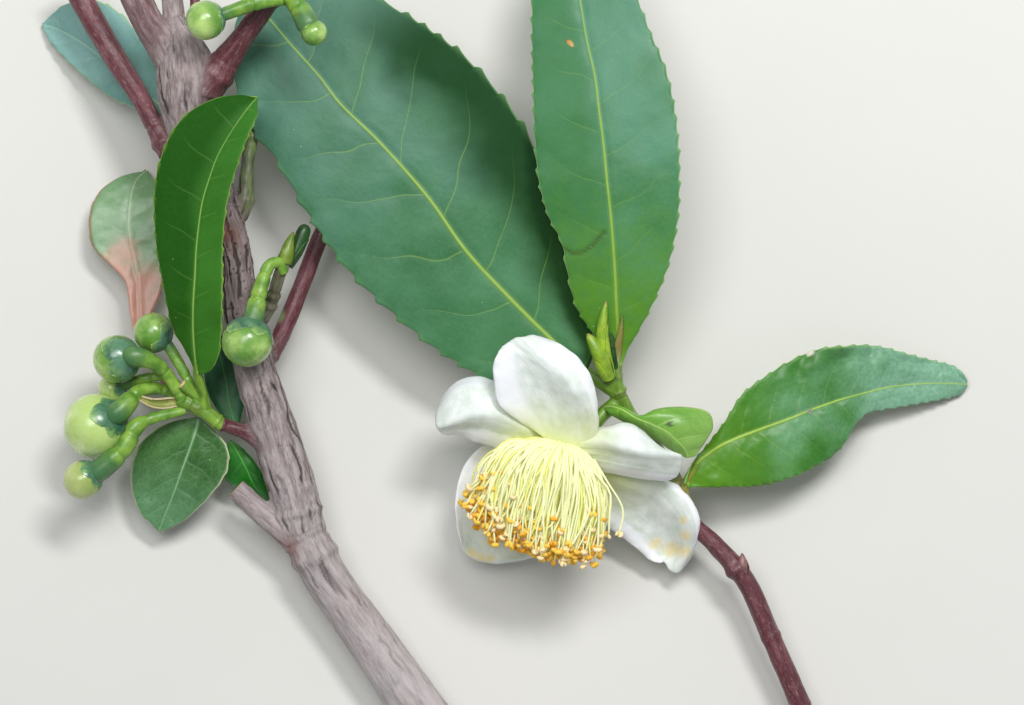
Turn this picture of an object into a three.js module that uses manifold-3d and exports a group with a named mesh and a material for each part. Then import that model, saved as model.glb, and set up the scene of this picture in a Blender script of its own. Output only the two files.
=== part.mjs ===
// Cut branch of a tea plant in flower, laid down flat: one woody main stem with pruned twigs,
// a cluster of round green buds, large leathery leaves and a flowering side shoot.
// Millimetres, +Z up. X and Y run along the surface that the branch lies on.
import * as THREE from 'three';
import { mergeVertices } from 'three/addons/utils/BufferGeometryUtils.js';
import Module from 'manifold-3d';

const wasm = await Module();
wasm.setup();

// Sizes shared by the whole branch
const GAP = 0.3;
const LEAF_THICKNESS = 0.6;
const PETAL_THICKNESS = 0.6;
const EDGE_WIDTH = 0.15;
const BALL_SIDES = 9;
const BALL_BANDS = 6;
const BLADE_ROWS = 10;
const BLADE_COLUMNS = 4;
const CENTRE_X = -1.0;
const CENTRE_Y = -19.66;

// Wood and green stems. Each is one tapering limb: its centre line and its radius at each point.
const WOOD = {
  stem_lower: {
    sides: 12,
    steps: 10,
    spine: [[26.2, -95.8, 4.1], [12.3, -81.1, 4.0], [-1.7, -64.4, 4.1], [-13.4, -48.9, 4.8],
      [-20.4, -38.9, 5.5], [-26.4, -30.2, 6.2], [-29.0, -24.6, 6.6]],
    radius: [4.1, 3.9, 3.75, 3.6, 3.3, 3.05, 3.2],
  },
  stem_upper: {
    sides: 12,
    steps: 12,
    spine: [[-29.2, -24.2, 6.7], [-30.8, -18.1, 7.4], [-33.2, -10.0, 8.6], [-35.5, -2.4, 9.8],
      [-37.4, 7.2, 11], [-38.1, 14.1, 12], [-41.1, 25.8, 14], [-43.4, 33.3, 15.5], [-44.2, 38.5, 16.5]],
    radius: [3.2, 3.4, 3.2, 2.9, 2.6, 2.2, 2.7, 4.4, 4.6],
  },
  pruned_stub: {
    spine: [[-28.6, -27.2, 6.4], [-33.6, -23.2, 7], [-38.3, -18.9, 7.5]],
    radius: [2.0, 1.75, 1.55],
  },
  twig_left: {
    spine: [[-47.3, 27.6, 14.5], [-51.2, 33.7, 13], [-55.2, 40.1, 11], [-59.7, 48.8, 9], [-61.4, 52.3, 8.5]],
    radius: [1.5, 1.4, 1.6, 1.7, 1.7],
  },
  twig_dark: {
    spine: [[-45.5, 38.5, 16.5], [-48.2, 42.8, 17], [-50.0, 45.5, 17.5], [-51.3, 48.2, 18], [-52.8, 52.0, 18.5]],
    radius: [2.7, 2.4, 2.15, 2.2, 2.1],
  },
  twig_brown: {
    spine: [[-45.8, 40.8, 16.2], [-46.7, 48.4, 15], [-47.0, 51.2, 14.5]],
    radius: [1.6, 1.5, 1.4],
  },
  twig_pink: {
    spine: [[-43.4, 40.2, 15.5], [-43.6, 48.4, 14.4], [-43.7, 50.9, 14]],
    radius: [1.2, 0.75, 0.7],
  },
  twig_right: {
    spine: [[-41.9, 36.5, 17], [-39.7, 39.2, 18], [-36.9, 43.0, 19.5], [-34.1, 46.7, 21], [-32.7, 48.8, 22]],
    radius: [2.7, 2.2, 1.6, 1.5, 1.4],
  },
  purple_twig: {
    spine: [[-35.2, -2.4, 9], [-32.8, 0.9, 8.5], [-29.4, 8.7, 7.5], [-26.5, 16.2, 7], [-22.5, 22.6, 6.5]],
    radius: [1.2, 1.25, 1.25, 1.2, 1.2],
  },
  green_shoot: {
    spine: [[-38.1, 17.2, 12], [-36.5, 20.3, 12.5], [-36.0, 25.2, 12], [-35.6, 30.3, 11], [-35.4, 32.8, 10.5]],
    radius: [1.0, 1.1, 1.0, 1.0, 0.9],
  },
  bud_twig_base: {
    spine: [[-34.1, -12.4, 8.8], [-36.7, -11.1, 9.3], [-40.1, -9.9, 10]],
    radius: [1.7, 1.2, 1.1],
  },
  bud_twig_tip: {
    spine: [[-40.4, -9.8, 10.05], [-42.4, -8.2, 10.6], [-45.6, -6.6, 11]],
    radius: [1.1, 1.15, 1.2],
  },
  bract: {
    spine: [[-45.3, -6.7, 11], [-49.4, -7.0, 11.6], [-52.7, -5.5, 12.6]],
    radius: [0.7, 0.9, 0.2],
  },
  cut_green_stub: {
    spine: [[-43.1, -6.4, 11], [-45.5, -4.3, 12.6]],
    radius: [0.7, 0.75],
  },
  side_shoot: {
    spine: [[-34.5, 5.0, 11.5], [-33.2, 6.8, 13], [-32.4, 9.3, 14.5], [-31.4, 12.1, 15.5]],
    radius: [1.3, 1.15, 1.1, 1.1],
  },
  side_shoot_tip: {
    spine: [[-31.2, 12.5, 15.5], [-30.5, 14.1, 15.6], [-29.8, 16.5, 15.5]],
    radius: [1.1, 0.8, 0.2],
  },
  folded_bud: {
    spine: [[-31.1, 11.9, 14.6], [-29.7, 14.1, 14.4], [-28.3, 17.9, 14.2]],
    radius: [0.8, 0.75, 0.2],
  },
  shoot_base: {
    spine: [[21.7, -91.0, 4.0], [31.1, -81.1, 4.2], [39.1, -69.3, 4.4], [42.2, -58.1, 4.8], [40.1, -49.0, 5.2]],
    radius: [2.0, 1.9, 1.8, 1.65, 1.5],
  },
  shoot_lower: {
    spine: [[40.0, -48.6, 5.25], [36.1, -39.9, 6], [32.4, -31.6, 6.6], [29.1, -26.7, 7],
      [26.1, -23.5, 7.4], [24.7, -20.0, 7.8]],
    radius: [1.5, 1.4, 1.4, 1.3, 1.25, 1.2],
  },
  shoot_upper: {
    spine: [[24.5, -19.6, 7.8], [22.2, -16.0, 8.2], [18.4, -11.5, 9.6], [15.7, -7.9, 11.4],
      [14.3, -4.1, 13], [14.4, 0.3, 14], [14.8, 4.3, 14.8]],
    radius: [1.2, 1.15, 1.15, 1.15, 1.05, 0.8, 0.35],
  },
  tip_bud_tall: {
    spine: [[13.6, -3.0, 14.6], [13.2, 1.7, 16.8], [12.9, 7.0, 17.6]],
    radius: [0.65, 0.8, 0.5],
  },
  tip_bud_stout: {
    spine: [[13.3, -3.5, 15], [12.1, -0.3, 17], [10.5, 2.4, 17.8]],
    radius: [0.9, 1.05, 0.6],
  },
  tip_bud_dark: {
    spine: [[14.2, -2.1, 14.4], [13.6, 1.7, 15.4], [13.0, 4.6, 15.8]],
    radius: [0.5, 0.6, 0.2],
  },
  pedicel: {
    spine: [[14.9, -6.6, 11.8], [12.7, -8.3, 12.6], [11.0, -10.3, 13.2], [9.8, -11.6, 13.6]],
    radius: [0.9, 0.85, 0.9, 1.2],
  },
};

// Leaf stalks, each from the wood to the foot of its blade
const PETIOLES = {
  petiole_front: {
    spine: [[-42.3, -7.7, 10.8], [-42.6, -5.9, 11.5], [-43.2, -3.1, 13.8]],
    radius: [0.7, 0.6, 0.5],
  },
  petiole_broad: {
    spine: [[14.1, -5.2, 12.6], [12.5, -4.2, 12.8], [10.7, -3.0, 12.6]],
    radius: [1.1, 1.0, 0.9],
  },
  petiole_wavy: {
    spine: [[25.2, -21.1, 7.6], [23.9, -19.4, 9.2], [24.3, -17.6, 10], [25.4, -15.8, 10.8]],
    radius: [0.8, 0.65, 0.6, 0.5],
  },
};

// Round buds and young fruit: the ball at the end and the curved stalk that carries it
const BUDS = {
  bud_cluster_1: {
    ball: [-49.6, 3.0, 12],
    size: 2.5,
    spine: [[-43.6, -6.8, 11], [-44.7, -3.8, 12], [-48.0, 1.7, 12]],
    radius: [0.7, 0.7, 0.8],
  },
  bud_cluster_2: {
    ball: [-54.5, -0.9, 12.5],
    size: 3.2,
    spine: [[-45.3, -6.8, 11.2], [-48.1, -2.3, 12.5], [-49.7, -1.3, 12.8], [-52.9, -0.6, 12.8]],
    radius: [0.8, 0.85, 1.0, 1.3],
  },
  bud_cluster_3: {
    ball: [-55.7, -4.6, 8.4],
    size: 1.7,
    spine: [[-45.0, -6.0, 10.4], [-47.6, -3.4, 10.4], [-50.8, -3.6, 10.6], [-54.4, -4.4, 9.0]],
    radius: [0.6, 0.6, 0.7, 0.8],
  },
  bud_cluster_4: {
    ball: [-57.3, -10.0, 10],
    size: 4.2,
    spine: [[-44.8, -7.6, 9.6], [-47.8, -5.3, 8.8], [-51.1, -5.2, 8.8], [-54.4, -7.4, 9.6]],
    radius: [0.7, 0.8, 0.9, 1.4],
  },
  bud_cluster_5: {
    ball: [-59.5, -17.9, 11.8],
    size: 2.6,
    spine: [[-45.2, -8.0, 10.8], [-50.2, -9.3, 12.4], [-51.9, -10.3, 12.9], [-53.2, -12.8, 13.2],
      [-57.4, -16.9, 12.4]],
    radius: [0.65, 0.8, 1.15, 1.25, 1.5],
  },
  bud_single: {
    ball: [-36.3, 1.4, 17.6],
    size: 3.5,
    spine: [[-31.7, 11.7, 16], [-33.0, 11.4, 16.6], [-34.2, 8.3, 17.3], [-35.2, 4.6, 17.5]],
    radius: [0.8, 0.85, 1.05, 1.3],
  },
  top_bud_right: {
    ball: [-26.4, 42.9, 26],
    size: 1.6,
    spine: [[-32.9, 49.0, 22.6], [-31.3, 48.6, 23.6], [-29.9, 47.3, 24.6], [-27.9, 45.3, 25.4]],
    radius: [1.3, 1.3, 1.5, 1.7],
  },
  top_bud_left: {
    ball: [-41.6, 45.0, 26],
    size: 2.7,
    spine: [[-31.2, 48.0, 25.2], [-34.5, 47.4, 25.8], [-40.0, 45.5, 26]],
    radius: [1.0, 1.0, 0.9],
  },
};

// Leaf blades. Half widths are given at five stations from the foot to the tip, on the left and
// on the right of the midrib, and slope tells how each half falls or rises away from it.
const LEAVES = {
  leaf_front: {
    midrib: [[-43.2, -2.4, 14.5], [-43.4, 6.4, 18.5], [-42.7, 16.7, 20.5], [-40.7, 25.1, 21.5],
      [-37.2, 31.7, 22], [-35.2, 34.7, 21]],
    left: [0.3, 3.2, 6.2, 7.7, 3.6],
    right: [1.6, 3.9, 3.2, 2.0, 1.2],
    slope: [-0.1, 0.35],
  },
  leaf_broad: {
    midrib: [[10.4, -2.9, 12.6], [4.4, 2.3, 13], [-4.3, 12.5, 14.5], [-14.3, 24.5, 15], [-21.6, 32.7, 14],
      [-30.2, 43.1, 12], [-37.0, 51.0, 9]],
    left: [7.2, 12.7, 14.8, 12.2, 8.0],
    right: [5.1, 9.9, 17.0, 14.5, 8.6],
    slope: [-0.12, -0.15],
  },
  leaf_pale: {
    midrib: [[-46.3, 31.5, 12.2], [-48.9, 33.2, 9.8], [-53.0, 37.1, 6], [-57.6, 41.8, 3.5], [-61.9, 44.7, 1.8],
      [-65.5, 45.9, 0.8]],
    left: [0.9, 2.4, 3.6, 3.5, 1.8],
    right: [1.7, 2.7, 3.8, 4.4, 2.0],
    slope: [0.05, 0.05],
  },
  leaf_upright: {
    midrib: [[14.6, 1.3, 15.4], [14.5, 4.3, 16.5], [14.1, 7.9, 17.5], [13.7, 16.7, 19], [12.8, 24.8, 19.5],
      [11.8, 34.2, 19], [9.2, 48.3, 17], [6.9, 59.2, 14]],
    left: [4.1, 7.1, 9.5, 7.4, 4.3],
    right: [4.4, 8.5, 10.3, 7.9, 4.0],
    slope: [0.12, 0.12],
  },
  leaf_wavy: {
    midrib: [[25.6, -15.5, 10.9], [30.5, -12.5, 11], [35.7, -10.4, 10], [41.1, -8.0, 8.5], [47.9, -5.9, 6],
      [53.5, -4.5, 4], [60.3, -4.1, 2], [63.5, -4.4, 0.9]],
    left: [1.4, 4.5, 7.6, 5.7, 2.4],
    right: [3.7, 7.1, 6.4, 1.8, 2.0],
    slope: [0.15, 0.1],
  },
  leaf_small: {
    midrib: [[14.6, -6.9, 13.4], [16.0, -8.6, 15.4], [18.9, -10.8, 16.4], [22.3, -12.8, 16.6], [24.6, -14.4, 16.4]],
    left: [0.6, 1.8, 3.9, 5.4, 3.6],
    right: [0.3, 0.5, 0.8, 0.8, 0.4],
    slope: [-0.2, -0.6],
  },
  leaf_netted: {
    midrib: [[-43.5, -10.4, 8.2], [-44.6, -13.5, 7.6], [-46.0, -17.7, 6.6], [-47.8, -22.1, 5], [-49.0, -24.7, 4]],
    left: [4.4, 5.6, 5.1, 2.8, 1.3],
    right: [4.9, 6.3, 6.7, 6.1, 3.5],
    slope: [0.1, -0.1],
  },
  leaf_glossy: {
    midrib: [[-39.4, -12.5, 7], [-37.7, -14.6, 7], [-36.1, -17.4, 6.3], [-35.2, -19.7, 5], [-34.8, -21.5, 3.4]],
    left: [0.8, 1.4, 1.4, 0.9, 0.4],
    right: [2.8, 4.1, 2.0, 0.6, 0.4],
    slope: [-0.1, -0.2],
  },
  leaf_faded: {
    midrib: [[-45.8, -7.4, 8.6], [-50.0, 1.0, 6.4], [-53.6, 9.4, 4.6], [-54.8, 15.7, 3.6], [-54.3, 20.5, 2.6],
      [-51.9, 25.2, 1.2]],
    left: [0.4, 0.5, 1.6, 5.0, 2.6],
    right: [0.4, 0.5, 1.6, 4.6, 2.8],
    slope: [0, 0.1],
  },
  leaf_shaded: {
    midrib: [[-38.2, -10.2, 7.4], [-39.4, -5.0, 6.6], [-40.6, 1.6, 5.4], [-41.4, 7.0, 4.4]],
    left: [1.2, 2.6, 3.0, 2.4, 1.0],
    right: [1.2, 2.4, 2.8, 2.2, 1.0],
    slope: [-0.15, -0.15],
  },
};

// Petals, laid out like the leaves but round at the tip and curled at the rim
const PETALS = {
  petal_top: {
    midrib: [[8.6, -12.4, 17.0], [7.8, -11.2, 19.6], [6.4, -7.8, 21.4], [4.5, -2.4, 22], [2.5, 2.2, 21]],
    left: [2.8, 4.9, 6.8, 6.6, 4.6],
    right: [3.6, 4.8, 5.3, 4.4, 2.6],
    slope: [-0.1, 0.1],
    curl: [-0.05, -0.06],
  },
  petal_left: {
    midrib: [[7.0, -12.4, 15.6], [3.4, -10.8, 16.8], [-1.2, -8.7, 17.6], [-5.1, -8.6, 17.8], [-10.4, -10.5, 16]],
    left: [1.7, 3.7, 4.2, 2.7, 1.2],
    right: [0.8, 2.0, 4.0, 5.1, 2.4],
    slope: [-0.7, -0.4],
    curl: [0, -0.06],
  },
  petal_lower: {
    midrib: [[7.2, -13.4, 13], [2.5, -18.3, 9], [-2.4, -23.2, 6], [-6.3, -27.3, 4.4]],
    left: [4.0, 7.0, 8.6, 6.9, 4.5],
    right: [4.0, 7.0, 8.6, 6.7, 3.3],
    slope: [0.05, 0.05],
    curl: [0.04, 0.04],
  },
  petal_right: {
    midrib: [[10.3, -12.8, 16.6], [13.4, -13.3, 19.2], [18.2, -14.4, 19.4], [23.0, -15.6, 17]],
    left: [1.8, 3.4, 4.0, 2.6, 1.6],
    right: [1.3, 2.2, 2.7, 2.5, 2.2],
    slope: [-0.3, -0.5],
    curl: [-0.08, 0],
  },
  petal_hanging: {
    midrib: [[10.2, -14.4, 12.6], [14.2, -18.5, 10.4], [18.4, -23.2, 7.8], [22.5, -29.7, 4.6]],
    left: [0.8, 2.4, 5.5, 6.6, 4.9],
    right: [1.7, 3.1, 4.1, 3.1, 1.7],
    slope: [0.1, -0.1],
    curl: [0.02, 0],
  },
};

// The flower's base: a short round receptacle with its ring of sepals
const RECEPTACLE = { centre: [8.9, -12.3, 14.6], size: 1.9 };

// The brush of stamens, one uneven solid hanging from the receptacle
const STAMENS = {
  base: [7.9, -13.6, 16.4],
  end: [3.6, -28.4, 17.0],
  halfWidth: [1.6, 5.6, 8.0, 8.9, 8.4, 4.6],
  halfDepth: [1.2, 3.4, 4.6, 5.0, 4.6, 2.6],
  sides: 16,
};

// Materials
const COLOURS = {
  bark: { color: 0x8d7f7a, roughness: 0.9 },
  redTwig: { color: 0x7a3a35, roughness: 0.6 },
  greenStem: { color: 0x86a83a, roughness: 0.5 },
  bud: { color: 0x8fb83e, roughness: 0.35 },
  leaf: { color: 0x2f6b3c, roughness: 0.35 },
  paleLeaf: { color: 0x79a98c, roughness: 0.45 },
  youngLeaf: { color: 0x7fb24a, roughness: 0.4 },
  petal: { color: 0xf4f5ec, roughness: 0.5 },
  stamens: { color: 0xf0e27a, roughness: 0.7 },
};

function material(key) {
  const { color, roughness } = COLOURS[key];
  return new THREE.MeshStandardMaterial({ color, roughness, metalness: 0 });
}

function curveThrough(points) {
  const vectors = points.map((p) => new THREE.Vector3(...p));
  return new THREE.CatmullRomCurve3(vectors, false, 'centripetal');
}

// Value at u of a smooth run of numbers that are evenly spaced from 0 to 1
function smooth(values, u) {
  const last = values.length - 1;
  const x = Math.min(Math.max(u, 0), 1) * last;
  const i = Math.min(Math.floor(x), last - 1);
  const f = x - i;
  const b = values[i];
  const c = values[i + 1];
  const a = i > 0 ? values[i - 1] : 2 * b - c;
  const d = i + 2 <= last ? values[i + 2] : 2 * c - b;
  const bend = (2 * a - 5 * b + 4 * c - d) * f * f + (3 * b - a - 3 * c + d) * f * f * f;
  return 0.5 * (2 * b + (c - a) * f + bend);
}

function geometryFrom(positions, indices) {
  const geometry = new THREE.BufferGeometry();
  geometry.setAttribute('position', new THREE.Float32BufferAttribute(positions, 3));
  geometry.setIndex(indices);
  return geometry;
}

function solidOf(geometry) {
  const bare = geometry.clone();
  bare.deleteAttribute('normal');
  bare.deleteAttribute('uv');
  const merged = mergeVertices(bare);
  const vertProperties = new Float32Array(merged.attributes.position.array);
  const triVerts = new Uint32Array(merged.index.array);
  return new wasm.Manifold(new wasm.Mesh({ numProp: 3, vertProperties, triVerts }));
}

function geometryOf(solid) {
  const mesh = solid.getMesh();
  return geometryFrom(Array.from(mesh.vertProperties), Array.from(mesh.triVerts));
}

// Closed skin over rings of points, with a fan over each end
function loft(rings) {
  const sides = rings[0].length;
  const positions = rings.flat().flatMap((p) => [p.x, p.y, p.z]);
  const indices = [];
  for (let r = 0; r + 1 < rings.length; r += 1) {
    for (let s = 0; s < sides; s += 1) {
      const next = (s + 1) % sides;
      const low = r * sides;
      const high = low + sides;
      indices.push(low + s, low + next, high + next, low + s, high + next, high + s);
    }
  }
  const top = (rings.length - 1) * sides;
  for (let s = 1; s + 1 < sides; s += 1) {
    indices.push(0, s + 1, s);
    indices.push(top, top + s, top + s + 1);
  }
  return geometryFrom(positions, indices);
}

// One tapering limb with flat ends, fattened by grow for the clearance round it
function limb({ spine, radius, sides = 7, steps = 2 * (spine.length - 1) }, grow = 0) {
  const curve = curveThrough(spine);
  const frames = curve.computeFrenetFrames(steps, false);
  const rings = [];
  for (let i = 0; i <= steps; i += 1) {
    const t = i / steps;
    const centre = curve.getPointAt(t);
    if (i === 0) centre.addScaledVector(frames.tangents[i], -grow);
    if (i === steps) centre.addScaledVector(frames.tangents[i], grow);
    const r = smooth(radius, curve.getUtoTmapping(t)) + grow;
    const ring = [];
    for (let s = 0; s < sides; s += 1) {
      const angle = (2 * Math.PI * s) / sides;
      const point = centre.clone();
      point.addScaledVector(frames.normals[i], r * Math.cos(angle));
      point.addScaledVector(frames.binormals[i], r * Math.sin(angle));
      ring.push(point);
    }
    rings.push(ring);
  }
  return solidOf(loft(rings));
}

function ball(centre, size, grow = 0) {
  const geometry = new THREE.SphereGeometry(size + grow, BALL_SIDES, BALL_BANDS);
  geometry.translate(...centre);
  return solidOf(geometry);
}

function budOnStalk(bud, grow = 0) {
  return limb(bud, grow).add(ball(bud.ball, bud.size, grow));
}

// Closed sheet of even thickness over a surface given by u along it and v across it
function sheet(surface, rows, columns, thickness) {
  const step = 1e-3;
  const positions = [];
  const offset = (u, v, side) => {
    const low = surface(Math.max(u - step, 0), v);
    const along = surface(Math.min(u + step, 1), v).sub(low);
    const near = surface(u, Math.max(v - step, -1));
    const across = surface(u, Math.min(v + step, 1)).sub(near);
    const normal = across.cross(along).normalize();
    return surface(u, v).addScaledVector(normal, (side * thickness) / 2);
  };
  for (const side of [-1, 1]) {
    for (let r = 0; r <= rows; r += 1) {
      for (let c = 0; c <= columns; c += 1) {
        const p = offset(r / rows, (2 * c) / columns - 1, side);
        positions.push(p.x, p.y, p.z);
      }
    }
  }
  const layer = (rows + 1) * (columns + 1);
  const at = (side, r, c) => side * layer + r * (columns + 1) + c;
  const indices = [];
  const quad = (a, b, c, d) => indices.push(a, b, c, a, c, d);
  for (let r = 0; r < rows; r += 1) {
    for (let c = 0; c < columns; c += 1) {
      quad(at(0, r, c), at(0, r + 1, c), at(0, r + 1, c + 1), at(0, r, c + 1));
      quad(at(1, r, c), at(1, r, c + 1), at(1, r + 1, c + 1), at(1, r + 1, c));
    }
    quad(at(0, r, 0), at(1, r, 0), at(1, r + 1, 0), at(0, r + 1, 0));
    quad(at(0, r, columns), at(0, r + 1, columns), at(1, r + 1, columns), at(1, r, columns));
  }
  for (let c = 0; c < columns; c += 1) {
    quad(at(0, 0, c), at(0, 0, c + 1), at(1, 0, c + 1), at(1, 0, c));
    quad(at(0, rows, c), at(1, rows, c), at(1, rows, c + 1), at(0, rows, c + 1));
  }
  return solidOf(geometryFrom(positions, indices));
}

// Leaf or petal: u runs from foot to tip, v from the right edge at -1 to the left edge at 1
function bladeSurface({ midrib, left, right, slope, curl = [0, 0] }, grow) {
  const curve = curveThrough(midrib);
  const widths = { left: [0, ...left, 0], right: [0, ...right, 0] };
  return (u, v) => {
    const t = (1 - Math.cos(Math.PI * u)) / 2;
    const point = curve.getPointAt(t);
    const tangent = curve.getTangentAt(t);
    const side = v >= 0 ? 0 : 1;
    const run = side === 0 ? widths.left : widths.right;
    const half = Math.max(smooth(run, u), EDGE_WIDTH) + grow;
    const away = new THREE.Vector3(-tangent.y, tangent.x, 0).normalize();
    const distance = Math.abs(v) * half;
    point.addScaledVector(away, v * half);
    point.addScaledVector(tangent, (2 * t - 1) * grow);
    point.z += slope[side] * distance + curl[side] * distance * distance;
    return point;
  };
}

function blade(shape, thickness, grow = 0) {
  return sheet(bladeSurface(shape, grow), BLADE_ROWS, BLADE_COLUMNS, thickness + 2 * grow);
}

// Stamen brush: oval sections along its axis, wide across the flower and shallow from front to back
function stamenBrush({ base, end, halfWidth, halfDepth, sides }) {
  const start = new THREE.Vector3(...base);
  const axis = new THREE.Vector3(...end).sub(start);
  const across = new THREE.Vector3(-axis.y, axis.x, 0).normalize();
  const depth = axis.clone().cross(across).normalize();
  const rings = halfWidth.map((width, i) => {
    const centre = start.clone().addScaledVector(axis, i / (halfWidth.length - 1));
    const ring = [];
    for (let s = 0; s < sides; s += 1) {
      const angle = (2 * Math.PI * s) / sides;
      const point = centre.clone().addScaledVector(across, width * Math.cos(angle));
      point.addScaledVector(depth, halfDepth[i] * Math.sin(angle));
      ring.push(point);
    }
    return ring;
  });
  return solidOf(loft(rings));
}

function largestBody(solid) {
  const bodies = solid.decompose();
  bodies.sort((a, b) => b.volume() - a.volume());
  return bodies[0];
}

// Every piece that is placed keeps clear of the pieces placed before it
const branch = new THREE.Group();
const placed = [];

function boxesMeet(a, b) {
  return [0, 1, 2].every((k) => a.min[k] < b.max[k] && b.min[k] < a.max[k]);
}

function place(name, colour, solid, fat) {
  let piece = solid;
  for (const other of placed) {
    if (boxesMeet(piece.boundingBox(), other.boundingBox())) {
      piece = largestBody(piece.subtract(other));
    }
  }
  placed.push(fat);
  const mesh = new THREE.Mesh(geometryOf(piece), material(colour));
  mesh.name = name;
  branch.add(mesh);
}

const WOOD_COLOURS = {
  twig_left: 'redTwig',
  twig_right: 'redTwig',
  purple_twig: 'redTwig',
  twig_pink: 'redTwig',
  bud_twig_base: 'redTwig',
  shoot_base: 'redTwig',
  shoot_lower: 'redTwig',
  green_shoot: 'greenStem',
  bud_twig_tip: 'greenStem',
  bract: 'greenStem',
  cut_green_stub: 'greenStem',
  side_shoot: 'greenStem',
  side_shoot_tip: 'greenStem',
  folded_bud: 'greenStem',
  shoot_upper: 'greenStem',
  tip_bud_tall: 'greenStem',
  tip_bud_stout: 'greenStem',
  tip_bud_dark: 'greenStem',
  pedicel: 'greenStem',
};

const LEAF_COLOURS = {
  leaf_pale: 'paleLeaf',
  leaf_faded: 'paleLeaf',
  leaf_small: 'youngLeaf',
};

for (const [name, shape] of Object.entries(WOOD)) {
  place(name, WOOD_COLOURS[name] ?? 'bark', limb(shape), limb(shape, GAP));
}

for (const [name, shape] of Object.entries(BUDS)) {
  place(name, 'bud', budOnStalk(shape), budOnStalk(shape, GAP));
}

place(
  'receptacle',
  'greenStem',
  ball(RECEPTACLE.centre, RECEPTACLE.size),
  ball(RECEPTACLE.centre, RECEPTACLE.size, GAP),
);

for (const [name, shape] of Object.entries(PETIOLES)) {
  place(name, 'greenStem', limb(shape), limb(shape, GAP));
}

for (const [name, shape] of Object.entries(LEAVES)) {
  place(name, LEAF_COLOURS[name] ?? 'leaf', blade(shape, LEAF_THICKNESS), blade(shape, LEAF_THICKNESS, GAP));
}

for (const [name, shape] of Object.entries(PETALS)) {
  place(name, 'petal', blade(shape, PETAL_THICKNESS), blade(shape, PETAL_THICKNESS, GAP));
}

const stamens = stamenBrush(STAMENS);
place('stamens', 'stamens', stamens, stamens);

branch.position.set(-CENTRE_X, -CENTRE_Y, 0);
const object = new THREE.Group();
object.add(branch);

export default object;
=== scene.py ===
import math
from itertools import product

import bmesh
import bpy
import numpy as np
from bpy.props import FloatProperty, FloatVectorProperty, IntProperty, PointerProperty
from bpy.types import Operator, Panel, PropertyGroup
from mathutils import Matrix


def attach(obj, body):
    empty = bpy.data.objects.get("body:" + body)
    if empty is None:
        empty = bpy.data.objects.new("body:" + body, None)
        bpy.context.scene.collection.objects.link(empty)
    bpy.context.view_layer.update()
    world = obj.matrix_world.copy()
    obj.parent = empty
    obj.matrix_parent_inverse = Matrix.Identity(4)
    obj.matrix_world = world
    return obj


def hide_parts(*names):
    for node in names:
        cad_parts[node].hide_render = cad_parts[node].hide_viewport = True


bl_info = {
    "name": "Flowering tea branch",
    "version": (1, 0, 0),
    "blender": (4, 5, 0),
    "location": "View3D > Sidebar > Tea Branch",
    "description": "Builds the bark, leaves, buds and flower of a cut tea branch",
    "category": "Add Mesh",
}

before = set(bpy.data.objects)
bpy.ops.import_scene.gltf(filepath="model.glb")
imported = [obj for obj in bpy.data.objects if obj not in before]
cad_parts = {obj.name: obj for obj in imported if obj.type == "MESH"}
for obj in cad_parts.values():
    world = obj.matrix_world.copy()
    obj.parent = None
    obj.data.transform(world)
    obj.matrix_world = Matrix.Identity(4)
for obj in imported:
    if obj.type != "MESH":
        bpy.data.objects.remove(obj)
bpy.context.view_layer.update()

# The branch is measured in millimetres on the surface it lies on, X to the right and Y up the
# branch. This is where the measuring point lies in the frame.
MEASURING_POINT = np.array([1.0, 19.66, 0.0])
MM = 0.001
SURFACE = {"view_distance": 800.0, "width": 143.36}
SENSOR = 36.0
MM_PER_METRE = 1000

# Steps between two given points of a line
SPAN_STEPS = 48

# How far the floor lies under the branch, in millimetres
FLOOR_GAP = 0.05

# Linear colours: what leaves tend to underneath, what a bud keeps in its own shade, and the sky
PALE_UNDERSIDE = np.array([0.30, 0.42, 0.20])
BUD_SHADOW = np.array([0.45, 0.55, 0.5])
SKY_COLOR = (0.93, 0.97, 1.0, 1.0)

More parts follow.
